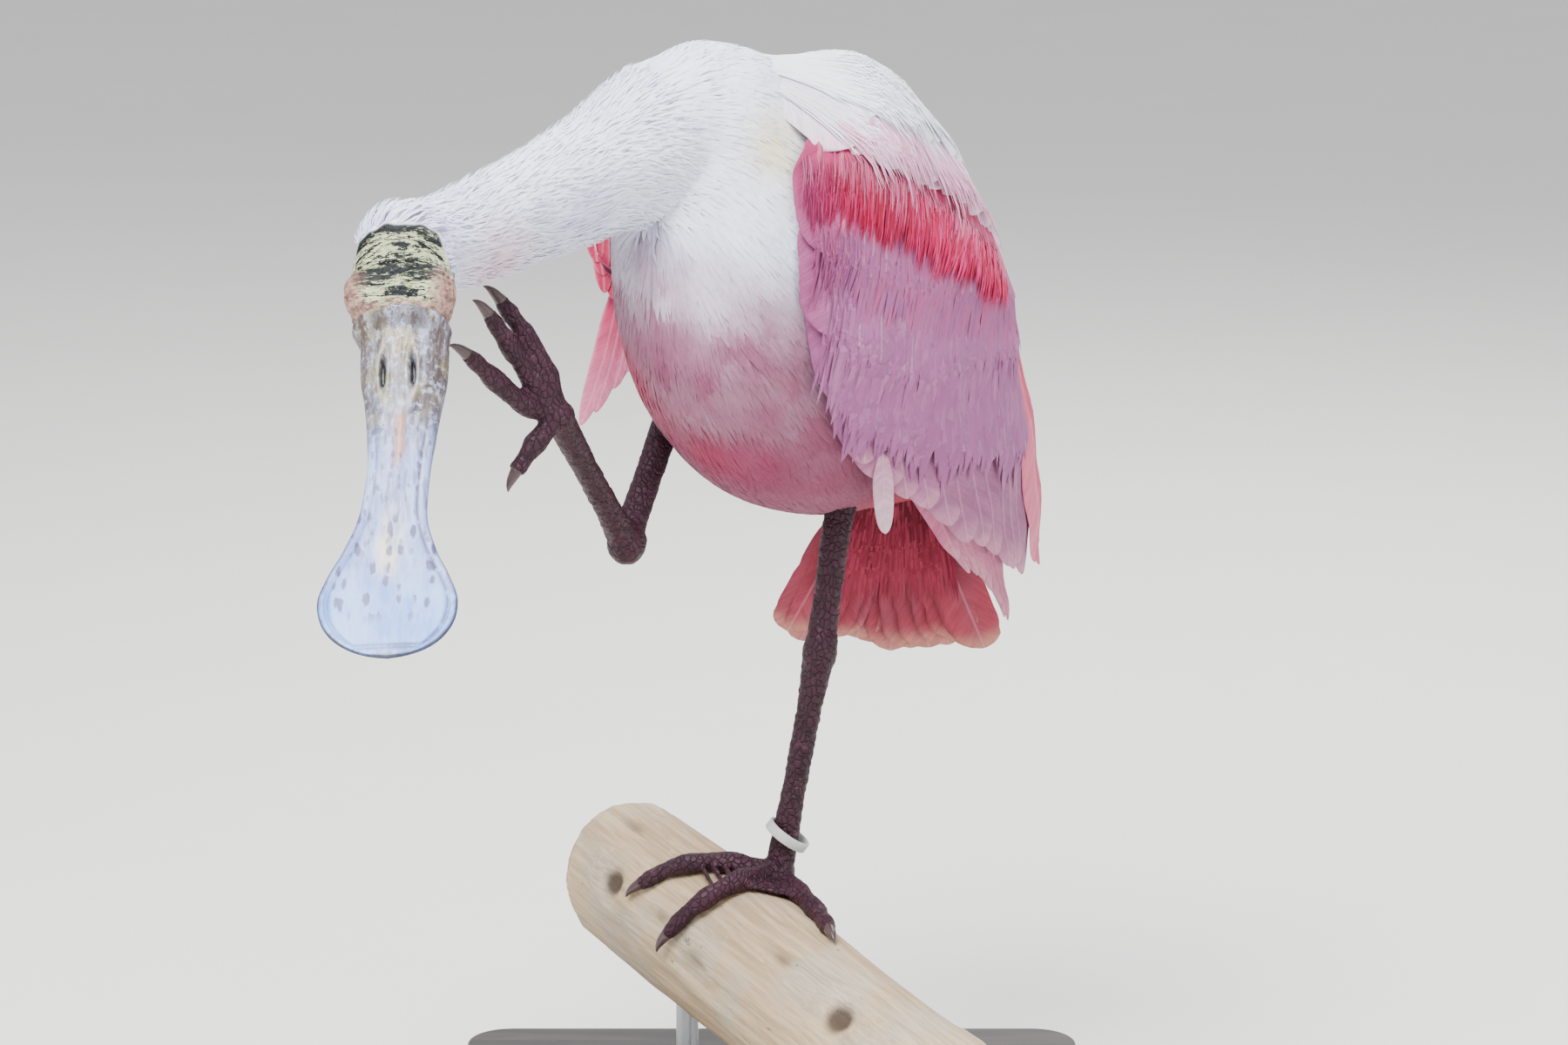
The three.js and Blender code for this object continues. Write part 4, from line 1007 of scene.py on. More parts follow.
def legSkin(name, finish, *nodes):
    line = legLines[name]
    ankle, foot = np.array(line["ankle"], float), np.array(line["ball"], float)
    down = unit(foot - ankle)
    up = unit(np.array(line["exit"], float) - ankle)
    tibiaRadii = [leg["tibia"] + more for more in (2.4, 0.9, 0.4, 0.9)]
    tibia = [line["root"], line["exit"], towards(line["exit"], ankle, 0.5), ankle]
    tarsusRadii = (7.2, leg["tarsus"] + 0.2, leg["tarsus"] - 0.1, leg["tarsus"] + 1.1)
    tarsus = [ankle, towards(ankle, foot, 0.25), towards(ankle, foot, 0.6), foot]
    shapes = [loft(tubeRings(tibia, tibiaRadii, 28, 50)), loft(tubeRings(tarsus, tarsusRadii, 28, 60))]
    radius = leg["ankle"]
    turn = np.array(Vector((0, 0, -1)).rotation_difference(Vector(down)).to_matrix())
    shapes.append(ball(ankle - down, (radius * 0.86, radius, radius * 1.28), turn))
    shapes.append(ball(ankle - down * 3 + up * 2, (radius * 0.8, radius * 0.9, radius), turn))
    shapes += footShapes(name)
    piece = fused("legSkin" + name.capitalize(), shapes, leg["voxel"], 4)
    points = vertexArray(piece.data) / mm
    normals = vertexArray(piece.data, "normal")
    reachDown = (points - ankle) @ down
    rings = ease(reachDown, 12, 22) * ease(-reachDown, -np.linalg.norm(foot - ankle) + 2, -8)
    scutes = 0.16 * rings * np.sin(reachDown * 1.55)
    knobs = 0.3 * grain(points, 0.36, 60) + 0.2 * grain(points, 0.8, 61)
    awayFromFoot = ease(np.linalg.norm(points - foot, axis=1), 0, 60)
    points += normals * (scutes + knobs * (0.6 + 0.4 * awayFromFoot))[:, None]
    if name == "left":
        points = keptOffLog(points)
    reshaped(piece, points)
    finishPiece(piece, finish, "leg_skin", *nodes)


def keptOffLog(points):         # the gripping toes stay on the bark
    away = points - logMiddle
    out = away - (away @ logAxis)[:, None] * logAxis
    radius = np.linalg.norm(out, axis=1)
    least = log["radius"] + 0.6
    inside = (radius < least) & (radius > 1)
    points[inside] += unit(out[inside]) * (least - radius[inside])[:, None]
    return points


scaledLeg = legFinish()
for legSide in ("left", "right"):
    legSkin(legSide, scaledLeg, "tibia_" + legSide, "tarsus_" + legSide, "foot_" + legSide)
print("legs and feet")


def claw(name, points, finish, node, keep):
    tip, before = points[-1], points[-2]
    forward = unit(tip - before)
    bend = unit(np.array([0, 0, -1.0]) + forward * forward[2])
    length = leg["claw"]
    steps = ((-1.5, -0.2), (0.3, 0), (length * 0.5, 0.5), (length * 0.8, 1.3), (length, 2.4))
    line = [tip + forward * a + bend * b for a, b in steps]
    rings = tubeRings(line, (leg["toe"] - 2.2, leg["toe"] - 2.0, 1.9, 1.1, 0.25), 20, 26)
    shape, faceSets = loft(rings)
    piece = meshObject(name, keep(shape), faceSets)
    finishPiece(piece, finish, "claw", node)


clawHorn = hardFinish("clawHorn", 0.32, 260.0, (22, 16, 18), (92, 70, 70), 0.0004)
for legSide, lines in toeLines.items():
    keep = keptOffLog if legSide == "left" else (lambda shape: shape)
    for toeName, toePoints in lines.items():
        clawName = "claw" + legSide.capitalize() + toeName.capitalize()
        claw(clawName, toePoints, clawHorn, f"claw_{legSide}_{toeName}", keep)
print("claws")


# Leg ring: a plain worn band, a little loose and tilted
band = {
    "inner": 8.9, "wall": 1.4, "height": 4.6, "tilt": 35, "corner": 0.35, "sides": 96,
    "up": 0.17,                 # share of the way from the foot to the ankle
    "aside": 0.9,
}


def legBand():
    ankle, foot = np.array(legLines["left"]["ankle"], float), leftBall
    centre = towards(foot, ankle, band["up"]) + np.array([band["aside"], 0, 0])
    half, inner, outer, corner = band["height"] / 2, band["inner"], band["inner"] + band["wall"], band["corner"]
    profile = [(inner, -half + corner), (inner + corner, -half), (outer - corner, -half), (outer, -half + corner),
               (outer, half - corner), (outer - corner, half), (inner + corner, half), (inner, half - corner)]
    angle = onceRound(band["sides"])
    ring = np.array([[(r * np.cos(a), r * np.sin(a), h) for r, h in profile] for a in angle])
    tilt = np.array(Euler((0, band["tilt"] * deg, 0)).to_matrix())
    points = ring.reshape(-1, 3) @ tilt.T + centre
    faces = gridFaces(band["sides"] + 1, len(profile), closed=True) % len(points)
    piece = meshObject("legBand", points, turnedOut(points, [faces]))
    applied(piece, "BEVEL", width=0.0001, segments=1, limit_method="ANGLE")
    piece.data.shade_smooth()
    creased(piece, 50)
    finish = hardFinish("plainBand", 0.4, 180.0, (150, 152, 150), (206, 208, 204), 0.0003)
    finishPiece(piece, finish, "leg_ring", "leg_ring")


legBand()
print("leg ring")


# Perch: weathered wood without bark, with knots, checks and sawn ends
wood = {
    "rows": 230,
    "sides": 200,
    # distance, angle, reach and depth of each
    "knots": ((-62, 64, 10, 2.6), (34, -112, 8, 1.8), (118, 40, 12, 2.2), (150, -60, 7, 1.6), (78, 150, 9, 2.0)),
    "hollows": ((-20, 62, 5, 1.6), (12, 74, 7, 1.4), (62, 30, 6, 1.2), (-80, 20, 6, 1.2)),
    "endRound": 7,
}


def woodFinish():
    made, tree = material("weatheredLog", 0.72, Specular_IOR_Level=0.3)
    place = attribute(tree, "logSpace", "Vector")
    fibre = noisy(tree, stretched(tree, place, (0.06, 1.0, 1.0)), 240.0, 5.0, 0.7, 0.4)
    fine = noisy(tree, stretched(tree, place, (0.04, 1.0, 1.0)), 900.0, 3.0, 0.7)
    tan = between(tree, fibre, 0.34, 0.66, (158, 134, 104), (192, 170, 138))
    grey = between(tree, fine, 0.35, 0.65, (148, 140, 126), (184, 176, 162))
    faded = stepped(tree, noisy(tree, place, 22.0, 3.0), 0.46, 0.66)
    colour = blended(tree, times(tree, faded, 0.65), tan, grey)
    flecks = stepped(tree, noisy(tree, stretched(tree, place, (0.5, 1, 1)), 150.0, 4.0, 0.75), 0.64, 0.72)
    colour = tinted(tree, colour, (58, 42, 30), flecks, 0.7)
    wobble = times(tree, noisy(tree, place, 60.0, 2.0), 3.0)
    rings = maths(tree, "SINE", times(tree, maths(tree, "ADD", attribute(tree, "ringDistance"), wobble), 2.4))
    sawn = between(tree, rings, -0.6, 0.9, (196, 160, 112), (140, 100, 60))
    colour = blended(tree, attribute(tree, "sawn"), colour, sawn)
    # dark in the knots, half as dark in the hollows
    colour = tinted(tree, colour, (48, 32, 24), attribute(tree, "knotAndHollow"))
    height = maths(tree, "ADD", fibre, times(tree, fine, 0.5))
    return surfaced(made, colour, (height, 0.55, 0.0012))


def acrossLog(angle, turn):     # the way round the bark from the turn to each angle
    return ((angle - turn + 180) % 360 - 180) * deg * log["radius"]


def perchLog():
    span = log["front"] - log["back"]
    share = np.linspace(0, 1, wood["rows"])[:, None]
    angle = np.linspace(0, 360, wood["sides"], endpoint=False)[None, :]
    waves = np.sin((angle * 2 + 40 + share * 160) * deg) * 0.8 + np.sin((angle * 3 - share * 420) * deg) * 0.5
    radius = log["radius"] + waves + np.sin(share * 7) * 0.7
    distance = log["back"] + share * span
    around = np.stack(np.broadcast_arrays(distance * 0.02, np.cos(angle * deg) * 3, np.sin(angle * deg) * 3), axis=-1)
    radius = radius + 0.5 * grain(around, (1, 2.4, 2.4), 70) + 0.22 * grain(around, (2.5, 8, 8), 71)
    check = grain(around, (0.5, 3.2, 3.2), 72)
    radius = radius - 1.1 * ease(-np.abs(check), -0.035, 0) * ease(grain(around, (0.8, 1.2, 1.2), 73), 0.0, 0.4)
    knotAndHollow = np.zeros_like(radius)
    for place, turn, reach, depth in wood["knots"]:
        r = np.hypot((distance - place) * 0.8, acrossLog(angle, turn)) / reach
        radius = radius + depth * 0.7 * swell(r, 1.1, 0.5) - depth * swell(r, 0, 0.55)
        knotAndHollow = np.maximum(knotAndHollow, 0.9 * ease(-r, -0.75, -0.35))
    for place, turn, reach, depth in wood["hollows"]:
        r = np.hypot((distance - place) * 0.6, acrossLog(angle, turn) * 1.5) / reach
        radius = radius - depth * swell(r, 0, 1)
        # the hollows darkened too, half as much as the knots
        knotAndHollow = np.maximum(knotAndHollow, 0.5 * np.exp(-((r * 1.3) ** 2)))
    fromEnd = np.minimum(share, 1 - share) * span
    radius = radius - wood["endRound"] * 0.22 * ease(-fromEnd, -wood["endRound"], 0) ** 2
    rings = logPoint(distance + 0 * angle, angle + 0 * distance, radius)
    back, front = (
        np.array([ring.mean(axis=0) + (ring - ring.mean(axis=0)) * k for k in (0.97, 0.8, 0.6, 0.4, 0.2, 0.06)])
        for ring in (rings[0], rings[-1])
    )
    points, faceSets = loft(np.concatenate([back[::-1], rings, front]))
    away = points - logMiddle
    reach = away @ logAxis
    local = np.stack([reach, away @ logSide, away @ logTop], axis=-1)
    middle = np.hypot(local[:, 1] - 2, local[:, 2] + 1)
    inner = np.zeros((6, wood["sides"]))
    sawn = np.concatenate([(inner + 1).ravel(), 0 * radius.ravel(), (inner + 1).ravel(), [1, 1]])
    knotAndHollowField = np.concatenate([inner.ravel(), knotAndHollow.ravel(), inner.ravel(), [0, 0]])
    fields = {"logSpace": local * mm, "ringDistance": middle, "sawn": sawn, "knotAndHollow": knotAndHollowField}
    piece = meshObject("perchLog", points, faceSets, fields=fields)
    finishPiece(piece, woodFinish(), "log_wood", "perch")


perchLog()
print("perch")


# Stand: a base board with a rounded edge and two turned rods
stand = {
    "length": 280, "width": 220, "thick": 16, "corner": 20, "edge": 2.2, "rod": 5, "flange": 14, "spread": 48,
    "gap": 0.4, "intoLog": 3.5,
}


def boardFinish():
    made, tree = material("paintedBoard", 0.42, Specular_IOR_Level=0.4, Coat_Weight=0.15, Coat_Roughness=0.35)
    fibre = noisy(tree, stretched(tree, objectSpace(tree), (0.08, 1.0, 1.0)), 160.0, 4.0, 0.6)
    colour = between(tree, fibre, 0.35, 0.65, (44, 38, 35), (66, 58, 53))
    return surfaced(made, darkened(tree, colour, mottled(tree, 12.0, 0.35)), (fibre, 0.25, 0.0005))


def steelFinish():
    made, tree = material("brushedSteel", 0.3, Metallic=1.0)
    brush = noisy(tree, stretched(tree, objectSpace(tree), (1.0, 1.0, 0.03)), 1600.0, 3.0, 0.7)
    colour = blended(tree, brush, tone(120, 122, 124), tone(188, 190, 192))
    return surfaced(made, colour, rough=stepped(tree, brush, 0.3, 0.7, (0.24, 0.42)))


def baseBoard():
    bpy.ops.mesh.primitive_cube_add(size=1, location=(0, 0, stand["thick"] / 2 * mm))
    piece = bpy.context.active_object
    piece.name = "baseBoard"
    piece.scale = (stand["length"] * mm, stand["width"] * mm, stand["thick"] * mm)
    bpy.ops.object.transform_apply(location=True, rotation=True, scale=True)
    bpy.ops.object.mode_set(mode="EDIT")
    bpy.ops.mesh.select_mode(type="EDGE")
    bpy.ops.mesh.select_all(action="DESELECT")
    bpy.ops.object.mode_set(mode="OBJECT")
    for edge in piece.data.edges:
        a, b = (piece.data.vertices[n].co for n in edge.vertices)
        edge.select = abs(a.z - b.z) > 0.01
    bpy.ops.object.mode_set(mode="EDIT")
    bpy.ops.mesh.bevel(offset=stand["corner"] * mm, segments=12, affect="EDGES")
    bpy.ops.object.mode_set(mode="OBJECT")
    only(piece)
    bpy.ops.object.shade_smooth()
    applied(piece, "BEVEL", width=stand["edge"] * mm, segments=4, limit_method="ANGLE", angle_limit=60 * deg,
            harden_normals=True)
    finishPiece(piece, boardFinish(), "base_wood", "stand_base")


def standRod(name, distance, node, finish):
    bottom = stand["thick"] + stand["gap"]
    under = logPoint(distance, 0, 0)
    top = log["height"] - distance * slopeSin - log["radius"] + stand["intoLog"]
    flange, rod = stand["flange"], stand["rod"]
    steps = ((0.5, 0), (flange - 0.6, 0), (flange, 0.6), (flange, 3.2), (flange - 0.8, 4), (rod + 1.6, 4.3),
             (rod + 0.5, 4.9), (rod, 6))
    profile = [(r, bottom + rise) for r, rise in steps] + [(rod, top)]
    angle = onceRound(64)
    rings = np.array([[(under[0] + r * np.cos(a), under[1] + r * np.sin(a), z) for a in angle] for r, z in profile])
    piece = meshObject(name, *loft(rings))
    creased(piece, 40)
    finishPiece(piece, finish, "stand_steel", node)


baseBoard()
brushedSteel = steelFinish()
standRod("rodBack", -stand["spread"], "stand_rod_back", brushedSteel)
standRod("rodFront", stand["spread"], "stand_rod_front", brushedSteel)
print("stand")


# Blades: thin tapered tufts, each a closed shape of a few faces
tuft = {
    "shape": (0.7, 1.0, 0.72, 0),   # share of the width at each step from root to tip
    "ridge": 0.16,
    "patch": 0.003,             # its size on the unwrapped skin
}


def bladePiece(name, centres, ups, widths, colours, unwrap, finish, slot):
    n, count = centres.shape[:2]
    forward = np.gradient(centres, axis=1)
    side = unit(np.cross(forward, ups))
    half = 0.5 * widths[:, None, None] * np.array(tuft["shape"])[None, :, None]
    left, right, top = centres - side * half, centres + side * half, centres + ups * half * tuft["ridge"]
    rows = count - 1
    body = np.stack([left, top, right], axis=2)[:, :rows].reshape(n, rows * 3, 3)
    points = np.concatenate([body, centres[:, -1:]], axis=1)
    each = rows * 3 + 1
    quads, triangles = [], [(2, 1, 0)]
    for i in range(rows - 1):
        a = i * 3
        quads += [(a, a + 1, a + 4, a + 3), (a + 1, a + 2, a + 5, a + 4), (a + 2, a, a + 3, a + 5)]
    a = (rows - 1) * 3
    triangles += [(a, a + 1, each - 1), (a + 1, a + 2, each - 1), (a + 2, a, each - 1)]
    start = (np.arange(n) * each)[:, None, None]
    faceSets = [(start + np.array(quads)).reshape(-1, 4), (start + np.array(triangles)).reshape(-1, 3)]
    across = np.tile([-0.5, 0, 0.5], rows).tolist() + [0]
    down = np.repeat(np.linspace(0, 0.8, rows), 3).tolist() + [1]
    patch = np.stack([across, down], axis=-1) * tuft["patch"]
    bakeMap = (unwrap[:, None] + patch[None]).reshape(-1, 2)
    # painted shade: each tuft darker at its root, where the tufts above shade it, and a touch lighter at its tip
    depth = np.array([*np.repeat(np.linspace(0.93, 1.01, rows), 3), 1.03])
    tint = np.clip(colours[:, None] * depth[None, :, None], 0, 1).reshape(-1, 3)
    piece = meshObject(name, points.reshape(-1, 3), faceSets, {"OFBake": bakeMap}, {"tint": tint})
    piece.data.shade_flat()
    finishPiece(piece, finish, slot)


# Lie of the coat: from the head down the neck and along the body to the tail
spineSteps = {
    "neck": 40,
    "body": 48,
    "neckTo": 34,               # the neck's coat grows on the steps before this one
    "bodyFrom": 32,
    "aroundHead": 46,           # how near the head's middle the coat follows the edge of the bare skin
}
neckSpine = curvePoints(neckSize["line"], np.linspace(0, 1, spineSteps["neck"]))
bodySpineX = np.linspace(118, -140, spineSteps["body"])
spine = np.concatenate([neckSpine, bodyPoint(bodySpineX, 0, 4)])
backward = np.tile(bodyTurn @ np.array([-1.0, 0, 0]), (spineSteps["body"], 1))
spineWay = np.concatenate([unit(np.gradient(neckSpine, axis=0)), backward])
spineUp = unit(np.cross(np.cross(spineWay, [0, 0, 1.0]), spineWay))
bodyRings = np.array(bodySize["rings"], float)
bodyRadii = np.interp(bodySpineX, bodyRings[:, 0], (2 * bodyRings[:, 1] + bodyRings[:, 2] - bodyRings[:, 3]) / 4)
neckSteps = np.linspace(0, len(neckSize["radii"]) - 1, spineSteps["neck"])
neckAlong = np.interp(neckSteps, range(len(neckSize["radii"])), neckSize["radii"])
spineRadii = np.concatenate([neckAlong, bodyRadii])


def overSpine(points):          # how far each point stands out from each length of neck and body
    return np.linalg.norm(points[:, None] - spine[None], axis=2) - spineRadii


def lieOf(points, normals):
    distance = overSpine(points)
    nearest = distance.argmin(axis=1)
    weight = swell(distance, distance.min(axis=1, keepdims=True), 16)
    way = unit(weight @ spineWay)
    way = way - normals * dotted(way, normals)[:, None]
    return unit(way), nearest


def unwrapped(points, nearest):
    offset, way, up = points - spine[nearest], spineWay[nearest], spineUp[nearest]
    angle = np.arctan2(dotted(offset, np.cross(way, up)), dotted(offset, up))
    lengthways = dotted(offset, way) * 0.002
    return np.stack([0.5 + angle / (2 * np.pi) * 0.97, 0.02 + nearest / len(spine) * 0.95 + lengthways], axis=-1)


coat = {
    "neck": {"count": 22000, "length": (9, 16), "width": (1.1, 2.0), "lift": (1.6, 2.4), "stray": 0.16},
    "body": {"count": 34000, "length": (15, 26), "width": (1.8, 3.2), "lift": (1.7, 2.4), "stray": 0.1},
    "fluff": {"count": 5000, "length": (7, 12), "width": (0.6, 1.0), "lift": (2.3, 3.8), "stray": 0.3},
}


def skinSamples(mesh, count, rng):
    mesh.calc_loop_triangles()
    corners = np.empty(len(mesh.loop_triangles) * 3, np.int32)
    mesh.loop_triangles.foreach_get("vertices", corners)
    corners = corners.reshape(-1, 3)
    points = vertexArray(mesh) / mm
    a, b, c = (points[corners[:, n]] for n in range(3))
    cross = np.cross(b - a, c - a)
    area = np.linalg.norm(cross, axis=1)
    chosen = rng.choice(len(corners), count, p=area / area.sum())
    u, v = rng.random(count), rng.random(count)
    flip = u + v > 1
    u[flip], v[flip] = 1 - u[flip], 1 - v[flip]
    places = a[chosen] + (b - a)[chosen] * u[:, None] + (c - a)[chosen] * v[:, None]
    return places, unit(cross[chosen])


def coatTufts(settings, zone, tree, rng):
    places, normals = skinSamples(skin.data, settings["count"] * 4, rng)
    keep = zone(places)
    places, normals = places[keep][:settings["count"]], normals[keep][:settings["count"]]
    way, nearest = lieOf(places, normals)
    side = np.cross(normals, way)
    stray = settings["stray"] * (rng.normal(size=len(places)) * 0.6 + grain(places, 1 / 12, 80) * 0.9)
    way = unit(way + side * stray[:, None])
    length = rng.uniform(*settings["length"], len(places))
    lift = rng.uniform(*settings["lift"], len(places)) * (1 + 0.2 * grain(places, 1 / 14, 82))
    width = rng.uniform(*settings["width"], len(places))
    knots, ups = [], []
    for share, rise in ((0, 0.1), (0.33, 0.72), (0.68, 0.95), (1, 1.0)):
        raw = places + way * (length * share)[:, None]
        found = [tree.find_nearest(Vector(p)) for p in raw]
        onSkin = np.array([f[0] for f in found])
        outward = np.array([f[1] for f in found])
        knots.append(onSkin + outward * (lift * rise)[:, None])
        ups.append(outward)
    return np.stack(knots, axis=1), np.stack(ups, axis=1), width, unwrapped(places, nearest), places


def skinTree():
    faces = [tuple(face.vertices) for face in skin.data.polygons]
    return BVHTree.FromPolygons((vertexArray(skin.data) / mm).tolist(), faces)


def spinePlace(points):
    return overSpine(points).argmin(axis=1)


def fromHead(points):
    return np.linalg.norm(points - headCentre, axis=1)


def onNeck(points):
    feathered = featherEdge(toHead(points)) > 0.4
    return (spinePlace(points) < spineSteps["neckTo"]) & (feathered | ~(fromHead(points) < spineSteps["aroundHead"]))


def onBody(points):             # left out where the folded wings hide it
    x, y, z = toBody(points).T
    turn = np.arctan2(z, np.abs(y))
    hidden = (x < np.where(y > 0, 66, 40)) & (x > -110) & (turn > np.where(y > 0, -0.72, -0.3)) & (turn < 1.12)
    return (spinePlace(points) >= spineSteps["bodyFrom"]) & ~hidden & (fromHead(points) > spineSteps["aroundHead"])


def plumageOverSkin():
    tree = skinTree()
    rng = np.random.default_rng(seeds["coat"])
    for key, zone, parts, finish, slot in (
        ("neck", onNeck, 2, downFinish, "plumage_white"), ("body", onBody, 3, pinkDownFinish, "plumage_pink"),
        ("fluff", onNeck, 1, downFinish, "plumage_white"),
    ):
        knots, ups, width, unwrap, places = coatTufts(coat[key], zone, tree, rng)
        colour = plumageColour(knots[:, 2]) * (1 + rng.uniform(-0.04, 0.03, len(places)))[:, None]
        order = np.argsort(spinePlace(places), kind="stable")
        for index, group in enumerate(np.array_split(order, parts)):
            tufts = [values[group] for values in (knots, ups, width, colour, unwrap)]
            bladePiece(f"{key}Plumage{index + 1}", *tufts, finish, slot)
        print("plumage,", key + ":", len(places), "tufts")


plumageOverSkin()


# Wings: a surface beside the body that the vanes lie on
hull = {
    "table": (                  # x, half width, half height
        (-225, 32, 26), (-180, 50, 40), (-140, 64, 55), (-100, 74, 70), (-60, 79, 82),
        (-20, 80, 91), (20, 78, 94), (60, 71, 91), (100, 56, 76), (128, 34, 52),
    ),
    "squareness": 0.87,
    "arc": 1.3,                 # millimetres round the body for a degree
    "armDepth": 19,
}
folded = {
    "side": 1, "droop": 0, "tuck": 0, "raise": 0, "lift": 0, "middle": 0, "reach": 1, "squeeze": 1, "swing": 0,
    "hide": 0,
}
drooped = {
    "side": -1, "droop": 12, "tuck": 18, "raise": 40, "lift": 3, "middle": 62, "reach": 52, "squeeze": 0.5,
    "swing": 0.1, "hide": 20,
}


def hullAt(x):
    table = np.array(hull["table"], float)
    index = np.clip(np.searchsorted(table[:, 0], x, side="left") - 1, 0, len(table) - 2)
    start, end = table[index], table[index + 1]
    k = np.clip((x - start[..., 0]) / (end[..., 0] - start[..., 0]), 0, 1)
    share = (0.5 * (k + k * k * (3 - 2 * k)))[..., None]
    size = start[..., 1:] * (1 - share) + end[..., 1:] * share
    return size[..., 0], size[..., 1]


def towardsFront(x, around):    # across the wing, rising to its front edge
    return 0.75 * x - 0.66 * around


def wingSurface(spread):
    def place(x, around, lift):
        x, around, lift = np.broadcast_arrays(np.asarray(x, float), around, lift)
        x = np.where(x > 8, 8 + (x - 8) * spread["squeeze"], x)     # the far wing's front is bunched up
        x = x + spread["swing"] * np.clip(-around - 10, 0, 60)
        width, height = hullAt(x)
        held = swell(x, spread["middle"], spread["reach"])
        raised = spread["raise"] * ease(-x, 20, 150)
        turn = (around / hull["arc"] - spread["droop"] * held + spread["tuck"] * (1 - held) + raised) * deg
        under = (12 + 10 * ease(around, 20, 70)) * ease(x, 80, 108)     # the front tucks in under the breast
        sunk = np.maximum(np.maximum(11 * ease(towardsFront(x, around), 57, 80), under), 10 * ease(x, 90, 114))
        sunk = sunk + 13 * ease(around, 62, 104) * ease(x, -10, 50)     # and the inner edge lies on the back
        lower = 0.65 * ease(-around, 16, 40) * ease(x, -40, 0)
        sunk = sunk + spread["hide"] * np.maximum(lower, ease(-around, -8, 16) * ease(x, -6, 26))
        off = lift - sunk + spread["lift"] * held * ease(-turn, 0, 1)
        cos, sin = np.cos(turn), np.sin(turn)
        flat = np.hypot(cos / width, sin / height)
        y = width * np.abs(cos) ** hull["squareness"] + cos / width / flat * off
        z = height * np.sign(turn) * np.abs(sin) ** hull["squareness"] + sin / height / flat * off
        return bodyPoint(x, spread["side"] * y, z)
    return place


wingRows = {
    "primaries": {
        "count": 8, "roots": ((30, -30), (14, -22)), "tips": ((-128, -62), (-166, -50), (-202, -36)),
        "widths": (17, 20), "lift": (-13, -12.4), "slope": -0.11, "bow": 3, "point": 0.5,
    },
    "secondaries": {
        "count": 13, "roots": ((51, -26), (28, -12), (-2, 12), (-34, 34)),
        "tips": ((-26, -66), (-62, -62), (-112, -48), (-152, -28), (-174, -8)),
        "widths": (25, 30), "lift": (-9, -8.2), "slope": -0.1, "bow": 3, "point": 0.3,
    },
    "tertials": {
        "count": 6, "roots": ((-22, 30), (-40, 62)), "tips": ((-176, 4), (-176, 26), (-148, 56)),
        "widths": (24, 30), "lift": (-5, -4.4), "slope": -0.1, "bow": -2, "point": 0.4,
    },
    "greaterCoverts": {
        "count": 15, "roots": ((63, -26), (44, -18), (18, -4), (-8, 12), (-34, 32)),
        "tips": ((17, -58), (-6, -58), (-42, -40), (-74, -18), (-100, 6)),
        "widths": (22, 26), "lift": (-5, -4.4), "slope": -0.1, "bow": 2, "point": 0.1,
    },
    "medianCoverts": {
        "count": 16, "roots": ((80, -11), (60, -4), (36, 4), (8, 16), (-22, 36)),
        "tips": ((45, -47), (20, -40), (-4, -28), (-30, -6), (-60, 20)),
        "widths": (20, 24), "lift": (-2.0, -1.4), "slope": -0.1, "bow": 2, "point": 0.1,
    },
    "lesserCoverts": {
        "count": 18, "roots": ((96, 4), (78, 16), (56, 24), (28, 34), (0, 44), (-22, 56)),
        "tips": ((70, -28), (50, -20), (26, -8), (2, 4), (-22, 16), (-46, 38)),
        "widths": (16, 20), "lift": (0.0, 1.2), "slope": -0.08, "bow": 1, "point": 0.1,
    },
    "scapularsLow": {
        "count": 15, "roots": ((112, 20), (92, 36), (60, 50), (28, 66), (0, 92)),
        "tips": ((86, 9), (58, 18), (24, 30), (-20, 48), (-80, 80)),
        "widths": (24, 30), "lift": (0.4, 3.0), "slope": -0.08, "bow": 0, "point": 0.0,
    },
    "scapularsHigh": {
        "count": 12, "roots": ((114, 36), (92, 58), (60, 80), (26, 106)),
        "tips": ((84, 26), (52, 38), (12, 56), (-40, 94)),
        "widths": (24, 30), "lift": (1.2, 3.6), "slope": -0.07, "bow": 0, "point": 0.0,
    },
}
looseFeather = {
    "count": 1, "roots": ((-26, -57),) * 2, "tips": ((-70, -81),) * 2,
    "widths": (10,) * 2, "lift": (-8, -4), "slope": 0.02, "bow": 1, "point": 0.5,
}
besideBreast = {                # the far wing's feathers that show beyond the breast, hung from one place
    "place": (-62.7, 2, 407),
    "carmine": {
        "count": 8, "roots": ((-10, 13), (-12, -6)), "tips": ((15, 11), (28, 8), (36, 2), (40, -6)),
        "widths": (9, 9), "lift": (-1.5, 1.5), "slope": -0.12, "bow": 1, "point": 0.35,
    },
    "long": {
        "count": 4, "roots": ((22, 1), (22, -6)), "tips": ((87, 19), (80, 12), (70, 5), (62, -2)),
        "widths": (10, 11), "lift": (-4, -2), "slope": -0.1, "bow": -2, "point": 0.6,
    },
}
wingTones = {
    "carmine": (tone(150, 14, 48), tone(186, 40, 80)),
    "long": (tone(190, 46, 92), tone(216, 116, 152)),
    "primaries": (tone(168, 82, 118), tone(184, 100, 134)),
    "secondaries": (tone(156, 92, 136), tone(162, 98, 138)),
    "tertials": (tone(216, 78, 118), tone(222, 120, 148)),
    "greaterCoverts": (tone(154, 92, 142), tone(156, 96, 142)),
    "medianCoverts": (tone(160, 94, 142), tone(160, 98, 144)),
    "lesserCoverts": (tone(186, 40, 92), tone(168, 94, 140)),
    "scapularsLow": (tone(236, 230, 242), tone(234, 212, 228)),
    "scapularsHigh": (tone(238, 239, 250), tone(238, 234, 244)),
    "loose": (tone(206, 150, 176), tone(226, 190, 206)),
}


vaneGrid = (20, 9)              # steps along a vane and across it


